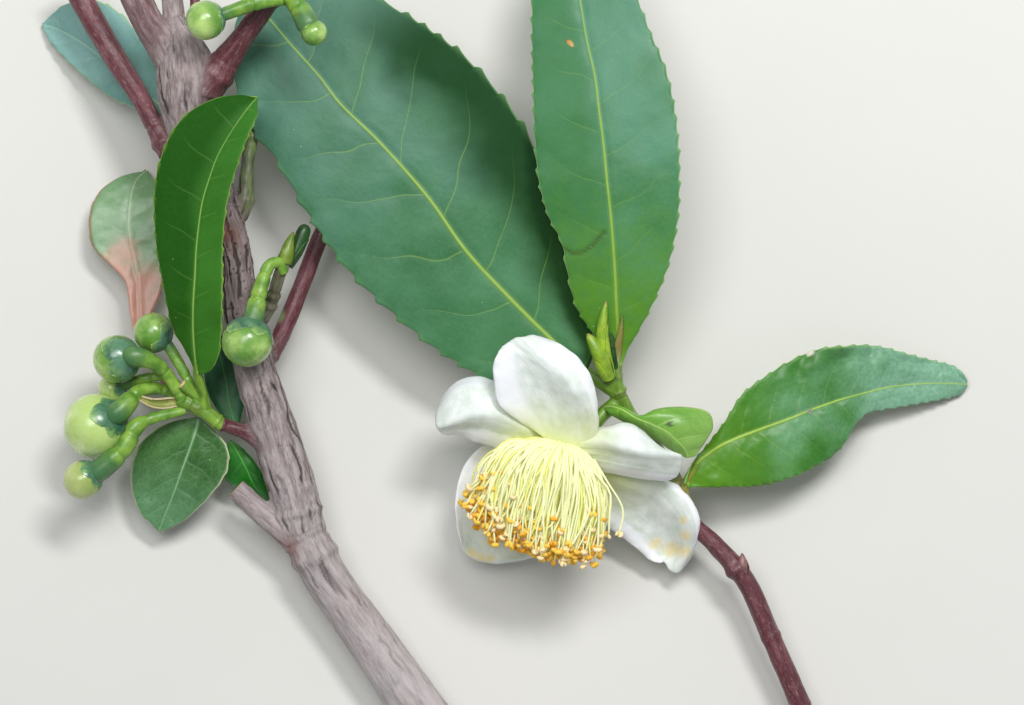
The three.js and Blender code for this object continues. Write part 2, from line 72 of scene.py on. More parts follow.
# Wood and stems: centre line, then radius at each of its points
LIMBS = {
    "stem_lower": ([[26.2, -95.8, 4.1], [12.3, -81.1, 4.0], [-1.7, -64.4, 4.1], [-13.4, -48.9, 4.8],
                    [-20.4, -38.9, 5.5], [-26.4, -30.2, 6.2], [-29.0, -24.6, 6.6]],
                   [4.1, 3.9, 3.75, 3.6, 3.3, 3.05, 3.2]),
    "stem_upper": ([[-29.2, -24.2, 6.7], [-30.8, -18.1, 7.4], [-33.2, -10.0, 8.6], [-35.5, -2.4, 9.8],
                    [-37.4, 7.2, 11], [-38.3, 14.1, 12], [-42.1, 25.8, 13.8], [-44.4, 33.3, 15.3],
                    [-44.6, 38.5, 16.3], [-45.2, 42.0, 16.2], [-46.0, 45.0, 16.0]],
                   [3.2, 3.4, 3.2, 2.9, 2.6, 2.3, 3.0, 3.8, 4.2, 3.2, 1.4]),
    "pruned_stub": ([[-28.6, -27.2, 6.4], [-33.6, -23.2, 7], [-38.3, -18.9, 7.5]], [2.0, 1.75, 1.55]),
    "twig_left": ([[-47.3, 27.6, 14.5], [-50.4, 33.7, 13], [-54.4, 40.1, 11], [-59.5, 48.8, 9],
                   [-61.3, 52.3, 8.5]],
                  [1.5, 1.4, 1.6, 1.7, 1.7]),
    "twig_dark": ([[-45.5, 38.5, 16.5], [-48.2, 42.8, 17], [-50.0, 45.5, 17.5], [-51.3, 48.2, 18],
                   [-52.8, 52.0, 18.5]],
                  [2.7, 2.4, 2.15, 2.2, 2.1]),
    "twig_brown": ([[-45.8, 40.8, 16.2], [-46.7, 48.4, 15], [-47.0, 51.2, 14.5]], [1.6, 1.5, 1.4]),
    "twig_pink": ([[-43.4, 40.2, 15.5], [-43.6, 48.4, 14.4], [-43.7, 50.9, 14]], [1.2, 0.75, 0.7]),
    "twig_right": ([[-41.9, 36.5, 17], [-39.7, 39.2, 18], [-36.9, 43.0, 19.5], [-34.1, 46.7, 21],
                    [-32.7, 48.8, 22]],
                   [2.7, 2.2, 1.6, 1.5, 1.4]),
    "purple_twig": ([[-35.2, -2.4, 9], [-32.8, 0.9, 8.5], [-29.4, 8.7, 7.5], [-26.5, 16.2, 7],
                     [-22.5, 22.6, 6.5]],
                    [1.2, 1.25, 1.25, 1.2, 1.2]),
    "green_shoot": ([[-38.1, 17.2, 12], [-36.8, 20.3, 12.5], [-36.6, 25.2, 12], [-35.9, 30.3, 11],
                     [-35.5, 32.8, 10.5]],
                    [1.0, 1.1, 1.0, 1.0, 0.9]),
    "bud_twig_base": ([[-34.1, -12.4, 8.8], [-36.7, -11.1, 9.3], [-40.1, -9.9, 10]], [1.7, 1.15, 0.95]),
    "bud_twig_tip": ([[-40.4, -9.8, 10.05], [-42.4, -8.2, 10.6], [-45.6, -6.6, 11]], [0.95, 1.0, 1.05]),
    "bract": ([[-45.3, -6.7, 11], [-49.4, -7.0, 11.6], [-52.7, -5.5, 12.6]], [0.7, 0.9, 0.2]),
    "cut_green_stub": ([[-43.1, -6.4, 11], [-45.5, -4.3, 12.6]], [0.7, 0.75]),
    "side_shoot": ([[-34.5, 5.0, 11.5], [-33.2, 6.8, 13], [-32.4, 9.3, 14.5], [-31.4, 12.1, 15.5]],
                   [1.3, 1.0, 0.9, 0.95]),
    "side_shoot_tip": ([[-31.3, 12.3, 15.5], [-30.8, 14.2, 15.7], [-30.0, 16.6, 15.6]], [0.95, 0.75, 0.25]),
    "folded_bud": ([[-30.9, 11.9, 14.4], [-29.5, 14.5, 14.2], [-28.3, 17.6, 14.0]], [0.7, 0.85, 1.1]),
    "shoot_base": ([[21.7, -91.0, 4.0], [31.1, -81.1, 4.2], [39.1, -69.3, 4.4], [42.2, -58.1, 4.8],
                    [40.1, -49.0, 5.2]],
                   [2.0, 1.9, 1.8, 1.65, 1.5]),
    "shoot_lower": ([[40.0, -48.6, 5.25], [36.1, -39.9, 6], [32.4, -31.6, 6.6], [28.3, -26.8, 7],
                     [24.9, -23.5, 7.3], [23.4, -20.2, 7.6]],
                    [1.5, 1.4, 1.4, 1.3, 1.15, 1.1]),
    "shoot_upper": ([[23.3, -19.8, 7.7], [21.7, -16.0, 8.2], [18.4, -11.5, 9.6], [15.7, -7.9, 11.4],
                     [14.3, -4.1, 13.2], [14.5, 0.0, 15.0], [14.9, 3.0, 16.2], [15.1, 4.8, 17.0]],
                    [1.2, 1.15, 1.15, 1.15, 1.05, 0.66, 0.42, 0.16]),
    "tip_bud_tall": ([[13.5, -3.0, 14.6], [12.4, 0.6, 16.6], [12.4, 3.8, 17.4], [12.9, 7.1, 17.6]],
                     [0.6, 0.85, 0.68, 0.42]),
    "tip_bud_stout": ([[13.3, -3.5, 15], [12.0, -0.3, 16.8], [10.3, 2.6, 17.4]], [0.85, 1.05, 0.55]),
    "tip_bud_dark": ([[14.2, -2.1, 14.4], [13.6, 1.7, 15.4], [13.0, 4.6, 15.8]], [0.5, 0.6, 0.2]),
    "side_bud": ([[32.2, -30.8, 7.2], [32.0, -29.6, 7.7], [31.9, -27.8, 7.9]], [0.6, 0.68, 0.25]),
    "pedicel": ([[14.9, -6.6, 11.8], [12.7, -8.3, 12.6], [11.0, -10.3, 13.2], [9.8, -11.6, 13.6]],
                [1.05, 1.0, 1.0, 1.25]),
    "petiole_front": ([[-42.3, -7.7, 10.8], [-42.6, -5.9, 11.5], [-43.2, -3.1, 13.8], [-43.4, -1.4, 14.7]],
                      [0.85, 0.75, 0.65, 0.4]),
    "petiole_broad": ([[14.1, -5.2, 12.6], [12.5, -4.2, 12.8], [10.7, -3.0, 12.6]], [1.1, 1.0, 0.9]),
    "petiole_wavy": ([[24.6, -21.1, 7.6], [23.9, -19.4, 9.2], [24.3, -17.6, 10], [25.4, -15.8, 10.8]],
                     [0.85, 0.75, 0.65, 0.5]),
}

# How red or green the skin of a limb is. What is left over is old grey bark.
SKIN_TONES = {
    "stem_lower": (0.0, 0.0), "stem_upper": (0.0, 0.0), "pruned_stub": (0.15, 0.0),
    "twig_left": (0.95, 0.0), "twig_dark": (0.55, 0.0), "twig_brown": (0.3, 0.25),
    "twig_pink": (1.0, 0.0), "twig_right": (0.9, 0.0), "purple_twig": (1.0, 0.0),
    "bud_twig_base": (0.95, 0.0), "green_shoot": (0.1, 0.6), "side_shoot": (0.4, 0.5),
    "shoot_base": (0.9, 0.0), "shoot_lower": (1.0, 0.0), "shoot_upper": (0.35, 0.6),
    "pedicel": (0.0, 1.0), "petiole_broad": (0.0, 1.0), "petiole_wavy": (0.25, 0.75),
    "bud_twig_tip": (0.05, 0.95), "cut_green_stub": (0.25, 0.75), "petiole_front": (0.0, 1.0),
}

# Rings and scars round the limbs: share of the limb's length, height and width in millimetres
RINGS = {
    "stem_lower": [(0.955, 0.35, 0.8), (0.985, -0.25, 0.35), (0.46, 0.12, 0.8)],
    "stem_upper": [(0.03, 0.3, 0.5), (0.28, 0.12, 1.2), (0.80, 0.2, 0.8)],
    "pruned_stub": [(0.12, 0.2, 0.5)],
    "twig_left": [(0.05, 0.25, 0.6), (0.14, -0.12, 0.25)],
    "twig_right": [(0.16, 0.3, 0.7), (0.3, -0.12, 0.25), (0.95, 0.25, 0.5)],
    "purple_twig": [(0.10, 0.2, 0.5)],
    "green_shoot": [(0.08, -0.15, 0.2), (0.25, 0.15, 0.4), (0.8, 0.2, 0.4), (0.86, -0.12, 0.2)],
    "side_shoot": [(0.28, 0.16, 0.2), (0.36, -0.14, 0.16), (0.46, 0.16, 0.2), (0.54, -0.14, 0.16),
                   (0.95, 0.12, 0.2)],
    "bud_twig_base": [(0.9, -0.12, 0.2), (0.97, 0.15, 0.2)],
    "bud_twig_tip": [(0.08, 0.12, 0.2), (0.6, 0.14, 0.4), (0.75, -0.1, 0.15)],
    "shoot_lower": [(0.62, 0.45, 0.8), (0.3, 0.12, 0.5)],
    "shoot_upper": [(0.05, 0.2, 0.4), (0.59, -0.12, 0.2), (0.62, 0.2, 0.25), (0.70, 0.1, 0.3)],
}

# Knots and side buds of the stem: place, size and height. Those below zero are plain bumps.
KNOTS = [(-32.2, -17.8, 0.75, 0.2), (-28.4, -19.6, 0.8, 0.2), (-26.9, -16.2, 0.8, -0.45),
         (-23.4, -27.2, 0.8, -0.4), (-39.2, 28.8, 1.1, -0.5), (-24.6, -23.2, 1.2, -0.35)]

# Spots of reddish and of green bark, and darkened spots: place and radius. The first darkened
# spot is a painted shadow of the broad leaf's margin on the green shoot; the others darken the
# side shoot.
REDDENED = [(-39.7, 15.8, 2.2), (-31.6, -27.2, 2.0), (24.4, -18.2, 2.2), (14.9, 2.0, 2.4)]
GREENED = [(-32.6, 5.3, 1.1)]
DARKENED = [(-36.6, 26.2, 2.6), (-32.8, 7.6, 2.4), (-32.0, 10.8, 1.2)]

# Buds: the ball at the end, then the stalk that carries it, as for the limbs. joints are the
# shares of the stalk where it is pinched, reach is how far the sepals wrap round the ball.
BUDS = {
    "bud_cluster_1": {
        "ball": [-49.5, 2.8, 12], "size": 2.75, "joints": [0.35], "reach": 95, "turn": 20,
        "spine": [[-43.6, -6.8, 11], [-44.7, -3.8, 12], [-48.0, 1.7, 12]], "radius": [0.7, 0.7, 0.8],
        "tone": "fresh",
    },
    "bud_cluster_2": {
        "ball": [-54.5, -0.9, 12.5], "size": 3.3, "joints": [0.42, 0.12], "reach": 92, "turn": 70,
        "spine": [[-45.3, -6.8, 11.2], [-47.9, -2.6, 13.0], [-49.6, -1.2, 14.4], [-52.0, -0.5, 14.9]],
        "radius": [0.8, 0.9, 1.1, 1.5], "tone": "fresh",
    },
    "bud_cluster_3": {
        "ball": [-55.4, -5.0, 8.0], "size": 2.0, "joints": [0.5], "reach": 60, "turn": 0,
        "spine": [[-45.0, -6.0, 10.4], [-47.6, -3.4, 10.4], [-50.8, -3.6, 10.6], [-54.0, -4.6, 8.9]],
        "radius": [0.6, 0.6, 0.7, 0.8], "tone": "pale",
    },
    "bud_cluster_4": {
        "ball": [-57.6, -10.2, 10], "size": 4.5, "joints": [0.3, 0.6], "reach": 55, "turn": 40,
        "spine": [[-44.8, -7.6, 9.6], [-47.8, -5.3, 9.6], [-51.1, -5.2, 11.2], [-54.3, -8.3, 12.9]],
        "radius": [0.7, 0.8, 0.95, 1.6], "tone": "pale",
    },
    "bud_cluster_5": {
        "ball": [-59.3, -17.6, 11.8], "size": 2.7, "joints": [0.33, 0.5, 0.68], "reach": 75, "turn": 10,
        "spine": [[-45.2, -8.0, 10.8], [-50.2, -9.3, 12.4], [-51.9, -10.3, 12.9], [-53.2, -12.8, 13.2],
                  [-56.8, -16.2, 12.6]],
        "radius": [0.65, 0.8, 1.15, 1.25, 1.6], "tone": "ripe",
    },
    "bud_single": {
        "ball": [-36.3, 1.4, 17.6], "size": 3.5, "joints": [0.36, 0.62], "reach": 92, "turn": 30,
        "spine": [[-31.3, 10.9, 15.6], [-31.9, 12.3, 16.2], [-33.1, 12.1, 16.8], [-34.3, 9.2, 17.3],
                  [-35.4, 4.6, 17.5]],
        "radius": [0.65, 0.75, 0.8, 1.0, 1.4], "tone": "fresh",
    },
    "top_bud_right": {
        "ball": [-26.8, 43.3, 26], "size": 1.8, "joints": [0.3, 0.6], "reach": 70, "turn": 0,
        "spine": [[-32.9, 49.0, 22.6], [-31.3, 48.8, 23.6], [-29.4, 47.4, 24.8], [-27.6, 44.6, 25.8]],
        "radius": [1.1, 1.15, 1.3, 1.6], "tone": "fresh",
    },
    "top_bud_left": {
        "ball": [-41.6, 45.0, 26], "size": 2.7, "joints": [0.4], "reach": 55, "turn": 50,
        "spine": [[-31.2, 48.0, 25.2], [-34.5, 47.4, 25.8], [-40.0, 45.5, 26]], "radius": [1.0, 1.0, 0.9],
        "tone": "fresh",
    },
}

# Leaf blades in rows from foot to tip: left margin, midrib and its height, right margin
LEAVES = {
    "leaf_front": [
        [-43.4, -3.0, -43.2, -3.0, 14.5, -43.0, -3.0], [-44.2, -0.9, -43.4, -1.9, 14.8, -41.6, -2.6],
        [-45.0, 0.6, -43.6, 0.3, 15.8, -40.3, -0.6], [-46.5, 3.5, -43.7, 3.4, 17.1, -39.8, 3.1],
        [-47.2, 6.6, -43.6, 6.5, 18.5, -39.6, 6.4], [-47.9, 10.5, -43.3, 10.6, 19.4, -39.5, 10.5],
        [-48.5, 13.9, -43.1, 14.0, 20, -39.5, 13.7], [-48.8, 17.8, -42.7, 17.4, 20.6, -39.3, 16.8],
        [-48.8, 21.3, -42.2, 20.5, 21, -38.9, 20.0], [-48.5, 24.3, -41.3, 23.5, 21.3, -38.2, 23.0],
        [-47.5, 27.6, -40.2, 26.5, 21.7, -37.2, 26.1], [-46.2, 30.3, -38.8, 29.1, 21.9, -36.2, 28.8],
        [-44.1, 32.7, -37.3, 31.4, 22, -35.4, 30.6], [-40.9, 34.4, -36.1, 33.1, 21.7, -34.8, 32.1],
        [-37.3, 35.1, -35.3, 34.1, 21.3, -34.7, 33.3], [-34.8, 34.8, -34.8, 34.7, 20.8, -34.7, 34.6],
    ],
    "leaf_broad": [
        [10.1, -3.0, 10.2, -2.8, 12.6, 10.3, -2.7], [6.6, -4.3, 9.0, -1.6, 12.7, 11.3, 0.1],
        [2.9, -4.9, 7.4, -0.1, 12.8, 10.9, 3.5], [-1.9, -4.2, 4.5, 2.7, 13, 9.8, 8.2],
        [-9.4, -0.1, -0.8, 8.0, 13.8, 8.0, 16.0], [-16.6, 5.7, -6.4, 14.1, 14.6, 5.1, 23.3],
        [-23.0, 12.0, -11.5, 21.3, 15, 1.1, 31.6], [-28.3, 19.6, -18.3, 29.0, 15, -6.2, 40.3],
        [-32.4, 26.6, -23.7, 34.3, 14.4, -12.2, 44.9], [-35.6, 30.6, -26.6, 38.1, 13.8, -16.0, 47.2],
        [-37.8, 35.9, -30.6, 42.6, 12.6, -22.0, 50.2], [-38.4, 40.6, -33.1, 45.6, 11.5, -27.3, 51.4],
        [-38.1, 45.1, -35.4, 48.4, 10.2, -32.2, 51.8], [-37.0, 50.9, -37.0, 51.0, 9, -36.8, 51.1],
    ],
    "leaf_pale": [
        [-47.0, 32.5, -46.9, 32.6, 11.4, -46.9, 32.8], [-48.9, 32.7, -48.2, 33.8, 10.3, -47.7, 35.0],
        [-50.9, 33.3, -49.8, 35.1, 8.9, -48.5, 37.7], [-53.4, 34.4, -52.0, 36.8, 6.9, -50.0, 40.6],
        [-56.1, 35.8, -54.4, 38.7, 5.2, -51.7, 43.7], [-58.8, 37.9, -56.8, 40.8, 3.9, -54.3, 46.9],
        [-61.4, 40.2, -59.3, 42.7, 2.8, -57.5, 48.9], [-63.4, 42.2, -61.6, 44.2, 1.9, -60.6, 49.2],
        [-64.9, 44.1, -63.9, 45.3, 1.2, -63.5, 47.9], [-65.7, 45.7, -65.7, 45.8, 0.8, -65.7, 45.9],
    ],
    "leaf_upright": [
        [14.7, -1.9, 14.9, -1.9, 14.8, 15.1, -1.9], [13.0, 0.3, 14.8, 0.1, 15.1, 15.9, 0.5],
        [11.3, 2.4, 14.6, 2.0, 15.6, 16.8, 2.0], [8.9, 6.2, 14.3, 6.6, 17.1, 19.3, 6.8],
        [7.7, 10.6, 14.1, 10.9, 18, 21.1, 11.2], [6.8, 15.1, 13.8, 15.1, 18.8, 22.2, 15.7],
        [5.1, 18.5, 13.5, 18.7, 19.2, 22.7, 19.2], [3.8, 22.9, 13.0, 23.3, 19.5, 22.8, 23.8],
        [3.3, 27.1, 12.6, 27.6, 19.4, 22.7, 28.1], [3.0, 32.7, 11.9, 33.2, 19.1, 22.0, 34.1],
        [2.9, 37.3, 11.3, 37.9, 18.5, 20.9, 38.8], [2.8, 42.1, 10.2, 42.9, 17.8, 18.9, 43.7],
        [2.8, 47.3, 9.3, 48.3, 17, 16.7, 49.3], [3.2, 52.5, 8.2, 53.2, 15.8, 14.0, 54.1],
        [4.3, 56.3, 7.4, 56.7, 14.9, 10.7, 57.5], [6.6, 59.4, 6.6, 59.5, 14, 6.7, 59.5],
    ],
    "leaf_wavy": [
        [24.0, -18.2, 24.2, -18.3, 10.4, 24.3, -18.6], [24.4, -16.9, 24.6, -17.1, 10.6, 26.0, -18.6],
        [25.1, -15.0, 25.5, -15.4, 10.9, 28.2, -18.6], [27.1, -12.6, 27.6, -13.6, 11, 30.8, -18.5],
        [29.3, -9.7, 30.4, -12.1, 11, 33.1, -18.5], [31.9, -5.7, 34.3, -10.6, 10.3, 36.9, -17.8],
        [36.0, -2.7, 38.5, -9.1, 9.4, 40.7, -16.4], [39.3, -0.8, 41.0, -8.1, 8.6, 43.1, -15.2],
        [42.7, 0.5, 44.1, -7.0, 7.6, 45.9, -12.8], [45.8, 0.8, 46.7, -6.2, 6.6, 47.4, -10.3],
        [48.9, 1.0, 49.1, -5.6, 5.7, 49.2, -8.5], [52.1, 0.6, 51.9, -4.9, 4.7, 51.8, -7.9],
        [55.2, -0.3, 54.8, -4.5, 3.8, 54.9, -7.4], [58.9, -1.2, 58.3, -4.3, 2.7, 58.3, -6.8],
        [61.6, -1.9, 61.2, -4.3, 1.9, 61.3, -6.2], [62.9, -2.8, 62.6, -4.4, 1.6, 62.9, -5.7],
        [63.6, -3.9, 63.6, -4.4, 1.3, 63.6, -4.9],
    ],
    "leaf_netted": [
        [-43.1, -9.2, -43.4, -9.1, 8.2, -43.6, -8.9], [-40.7, -11.3, -43.8, -10.7, 8, -47.7, -9.8],
        [-39.3, -13.5, -44.5, -12.8, 7.6, -51.3, -12.3], [-39.4, -16.0, -45.4, -15.2, 7, -52.7, -15.2],
        [-40.6, -18.3, -46.3, -17.6, 6.3, -53.0, -18.0],
        [-42.5, -20.5, -47.1, -19.8, 5.6, -52.5, -20.5], [-44.8, -22.7, -48.0, -21.9, 5, -51.5, -22.6],
        [-47.1, -24.2, -48.7, -23.6, 4.5, -50.1, -23.9],
        [-49.0, -24.9, -49.2, -24.9, 4.1, -49.3, -24.9],
    ],
    "leaf_glossy": [
        [-39.0, -12.1, -39.3, -12.3, 7, -39.4, -12.6], [-37.3, -13.4, -38.4, -13.4, 7, -39.7, -14.4],
        [-35.8, -15.1, -37.6, -14.8, 6.8, -40.0, -16.0],
        [-34.7, -16.9, -36.8, -16.3, 6.4, -39.7, -17.7],
        [-34.1, -18.8, -36.1, -17.9, 5.8, -38.6, -18.6],
        [-33.7, -20.1, -35.3, -19.1, 5.2, -36.9, -19.1],
        [-33.5, -20.8, -34.4, -20.3, 4.6, -35.2, -20.1],
        [-33.6, -21.5, -33.6, -21.5, 4.2, -33.7, -21.5],
    ],
    "leaf_faded": [
        [-46.5, -7.4, -46.3, -7.4, 8.6, -46.0, -7.4], [-48.4, -4.6, -48.1, -4.5, 8, -47.8, -4.4],
        [-50.5, -0.8, -50.2, -0.8, 7.2, -49.9, -0.8], [-52.4, 2.6, -51.9, 2.6, 6.4, -51.5, 2.6],
        [-53.0, 5.1, -51.8, 4.8, 6, -50.4, 4.8], [-53.3, 7.6, -51.9, 7.3, 5.6, -49.2, 7.3],
        [-53.8, 9.9, -52.0, 9.8, 5.2, -48.5, 10.1], [-56.1, 12.4, -52.5, 12.3, 4.8, -48.3, 12.6],
        [-58.3, 14.6, -53.1, 15.0, 4.3, -48.2, 15.0], [-58.9, 17.3, -53.4, 17.8, 3.8, -48.3, 17.6],
        [-58.6, 20.4, -53.3, 20.6, 3.2, -48.7, 20.3], [-57.2, 22.8, -52.9, 23.0, 2.4, -49.3, 22.7],
        [-54.9, 24.4, -52.2, 24.4, 1.8, -50.0, 24.1], [-51.2, 25.4, -51.0, 25.4, 1.2, -50.9, 25.4],
    ],
    "leaf_shaded": [
        [-38.6, -10.5, -38.3, -10.5, 7.4, -38.0, -10.3], [-40.2, -8.8, -38.8, -8.7, 7.2, -37.5, -8.4],
        [-41.6, -6.9, -39.3, -6.6, 6.9, -37.2, -6.3], [-42.5, -4.7, -39.7, -4.2, 6.5, -37.4, -4.0],
        [-42.8, -1.9, -40.3, -1.6, 6.1, -38.1, -1.5], [-42.7, 0.6, -40.9, 0.9, 5.7, -39.3, 1.0],
        [-41.6, 3.4, -41.4, 3.4, 5.2, -41.3, 3.4],
    ],
}

# Finish of each leaf. Lengths are in millimetres: vein is the distance between side veins, tooth
# and pitch are the depth and distance of the teeth, wave and quilt are the heights of the wavy
# margin and of the swellings between the veins. sheen is the tone of a painted sheen towards the
# tip. shade is a painted shade at the sides: its colour, how strong it is on the left and on the
# right, the shares of the length where it starts and ends, and its gap to the midrib.
# slope and curl lift the left and the right half of the blade towards its margins.
COMMON_LOOK = {
    "gloss": 0.5, "coat": 0.15, "vein_strength": 0.3, "net": 0.06, "margin": 0.02, "foot": 0.08,
    "crumple": 0, "shade": (0x123E14, 0, 0, 0, 1, 0), "marks": (), "flecks": (),
}
LEAF_LOOKS = {
    "leaf_front": {
        "dark": 0x2C621A, "light": 0x3A7626, "vein_tone": 0x8CB45A, "edge": 0x9CC058, "sheen": 0x346E24,
        "vein": 5.5, "tooth": 0.3, "pitch": 2.4, "wave": 0.2, "quilt": 0.02, "rib": 0.14, "margin": 0.022,
        "slope": (-0.1, 0.3), "curl": (-0.01, 0.02), "gloss": 0.1, "coat": 0.0, "vein_strength": 0.11,
        "net": 0.02, "shade": (0x164A0A, 0.85, 0.0, 0.1, 1.3, 0.0),
    },
    "leaf_broad": {
        "dark": 0x3A6E46, "light": 0x50845E, "vein_tone": 0x98B850, "edge": 0x6E9A60, "sheen": 0x587E78,
        "vein": 9.5, "tooth": 0.75, "pitch": 3.7, "wave": 0.3, "quilt": 0.08, "rib": 0.3,
        "slope": (-0.05, 0.03), "curl": (-0.004, -0.002), "vein_strength": 0.26, "net": 0.0,
        "gloss": 0.2, "coat": 0.0, "crumple": 0.06, "shade": (0x0E3C14, 0.0, 0.95, -0.3, 0.78, 0.42),
    },
    "leaf_pale": {
        "dark": 0x62948A, "light": 0x7EAEA6, "vein_tone": 0xA8CCA4, "edge": 0xA4C87C, "sheen": 0x84B2AE,
        "vein": 4.5, "tooth": 0.3, "pitch": 2.2, "wave": 0.15, "quilt": 0.03, "rib": 0.16,
        "slope": (0.04, 0.04), "curl": (0, 0), "margin": 0.035, "vein_strength": 0.15,
    },
    "leaf_upright": {
        "dark": 0x387244, "light": 0x4C8660, "vein_tone": 0x8CB044, "edge": 0x9CC07C, "sheen": 0x4A8470,
        "vein": 7.2, "tooth": 0.42, "pitch": 2.3, "wave": 0.2, "quilt": 0.02, "rib": 0.25, "net": 0.03,
        "slope": (0.02, 0.08), "curl": (-0.006, 0), "vein_strength": 0.14, "foot": 0.9, "gloss": 0.2,
        "coat": 0.06, "crumple": 0.05, "shade": (0x2E6C30, 0.6, 0.0, 0.1, 1.3, 0.0),
        "marks": [([[7.3, 14.2], [8.2, 13.6], [9.6, 13.7], [11.0, 14.6], [12.7, 16.6]], 0.24, 0.12)],
        "flecks": [(7.8, 42.5, 0.36, 0xC08A40), (8.2, 42.1, 0.28, 0xD8A868)],
    },
    "leaf_wavy": {
        "dark": 0x2F6E1C, "light": 0x4A863C, "vein_tone": 0xA6C454, "edge": 0x94BC70, "sheen": 0x9CC8BC,
        "vein": 4.2, "tooth": 0.3, "pitch": 1.7, "wave": 0.55, "quilt": 0.06, "rib": 0.22, "net": 0.04,
        "slope": (0.06, 0.04), "curl": (0.01, -0.02), "pucker": 0.9, "crumple": 0.16, "vein_strength": 0.12,
        "gloss": 0.25, "coat": 0.04, "foot": 0.9,
        "flecks": [(41.2, 0.1, 0.7, 0xE4E0CC), (41.2, -8.1, 0.4, 0x8C8C80)],
    },
    "leaf_small": {
        "dark": 0x528E22, "light": 0x7CB23A, "vein_tone": 0xB4D470, "edge": 0xD2E29A, "sheen": 0x94BA68,
        "vein": 3.4, "tooth": 0, "pitch": 1.3, "wave": 0.1, "quilt": 0.1, "rib": 0.16, "margin": 0.05,
        "flecks": [(21.6, -9.8, 0.35, 0x2E3A20), (20.7, -12.8, 0.35, 0xC8A09A), (21.5, -13.5, 0.3, 0xC8A09A)],
    },
    "leaf_netted": {
        "dark": 0x2C5A24, "light": 0x4A7A3C, "vein_tone": 0x8CB488, "edge": 0xD2D6AE, "sheen": 0x6A9874,
        "vein": 4.2, "tooth": 0.2, "pitch": 2.2, "wave": 0.25, "quilt": 0.1, "rib": 0.18, "net": 0.14,
        "slope": (0.1, -0.1), "curl": (0.03, -0.01), "margin": 0.05, "gloss": 0.35, "vein_strength": 0.2,
        "crumple": 0.1,
    },
    "leaf_glossy": {
        "dark": 0x0E5612, "light": 0x23801C, "vein_tone": 0x4E9A3A, "edge": 0x6FB050, "sheen": 0x2E7A34,
        "vein": 3.2, "tooth": 0.15, "pitch": 1.8, "wave": 0.2, "quilt": 0.2, "rib": 0.16, "crumple": 0.15,
        "slope": (-0.15, -0.3), "curl": (-0.02, -0.03),
    },
    "leaf_faded": {
        "dark": 0x527E4C, "light": 0x709A66, "vein_tone": 0xA8BC90, "edge": 0xB07C68, "sheen": 0x769A72,
        "vein": 4.0, "tooth": 0.1, "pitch": 2.4, "wave": 0.3, "quilt": 0.06, "rib": 0.25, "margin": 0.08,
        "slope": (0, 0.05), "curl": (0, 0), "blush": 0.7, "vein_strength": 0.15, "crumple": 0.1,
    },
    "leaf_shaded": {
        "dark": 0x1C4A2C, "light": 0x2C6040, "vein_tone": 0x4A7E48, "edge": 0x4A7E48, "sheen": 0x3A6A4A,
        "vein": 3.6, "tooth": 0.1, "pitch": 2.0, "wave": 0.15, "quilt": 0.08, "rib": 0.18,
        "slope": (-0.15, -0.15), "curl": (0, 0), "gloss": 0.15, "coat": 0.0, "vein_strength": 0.2,
    },
}

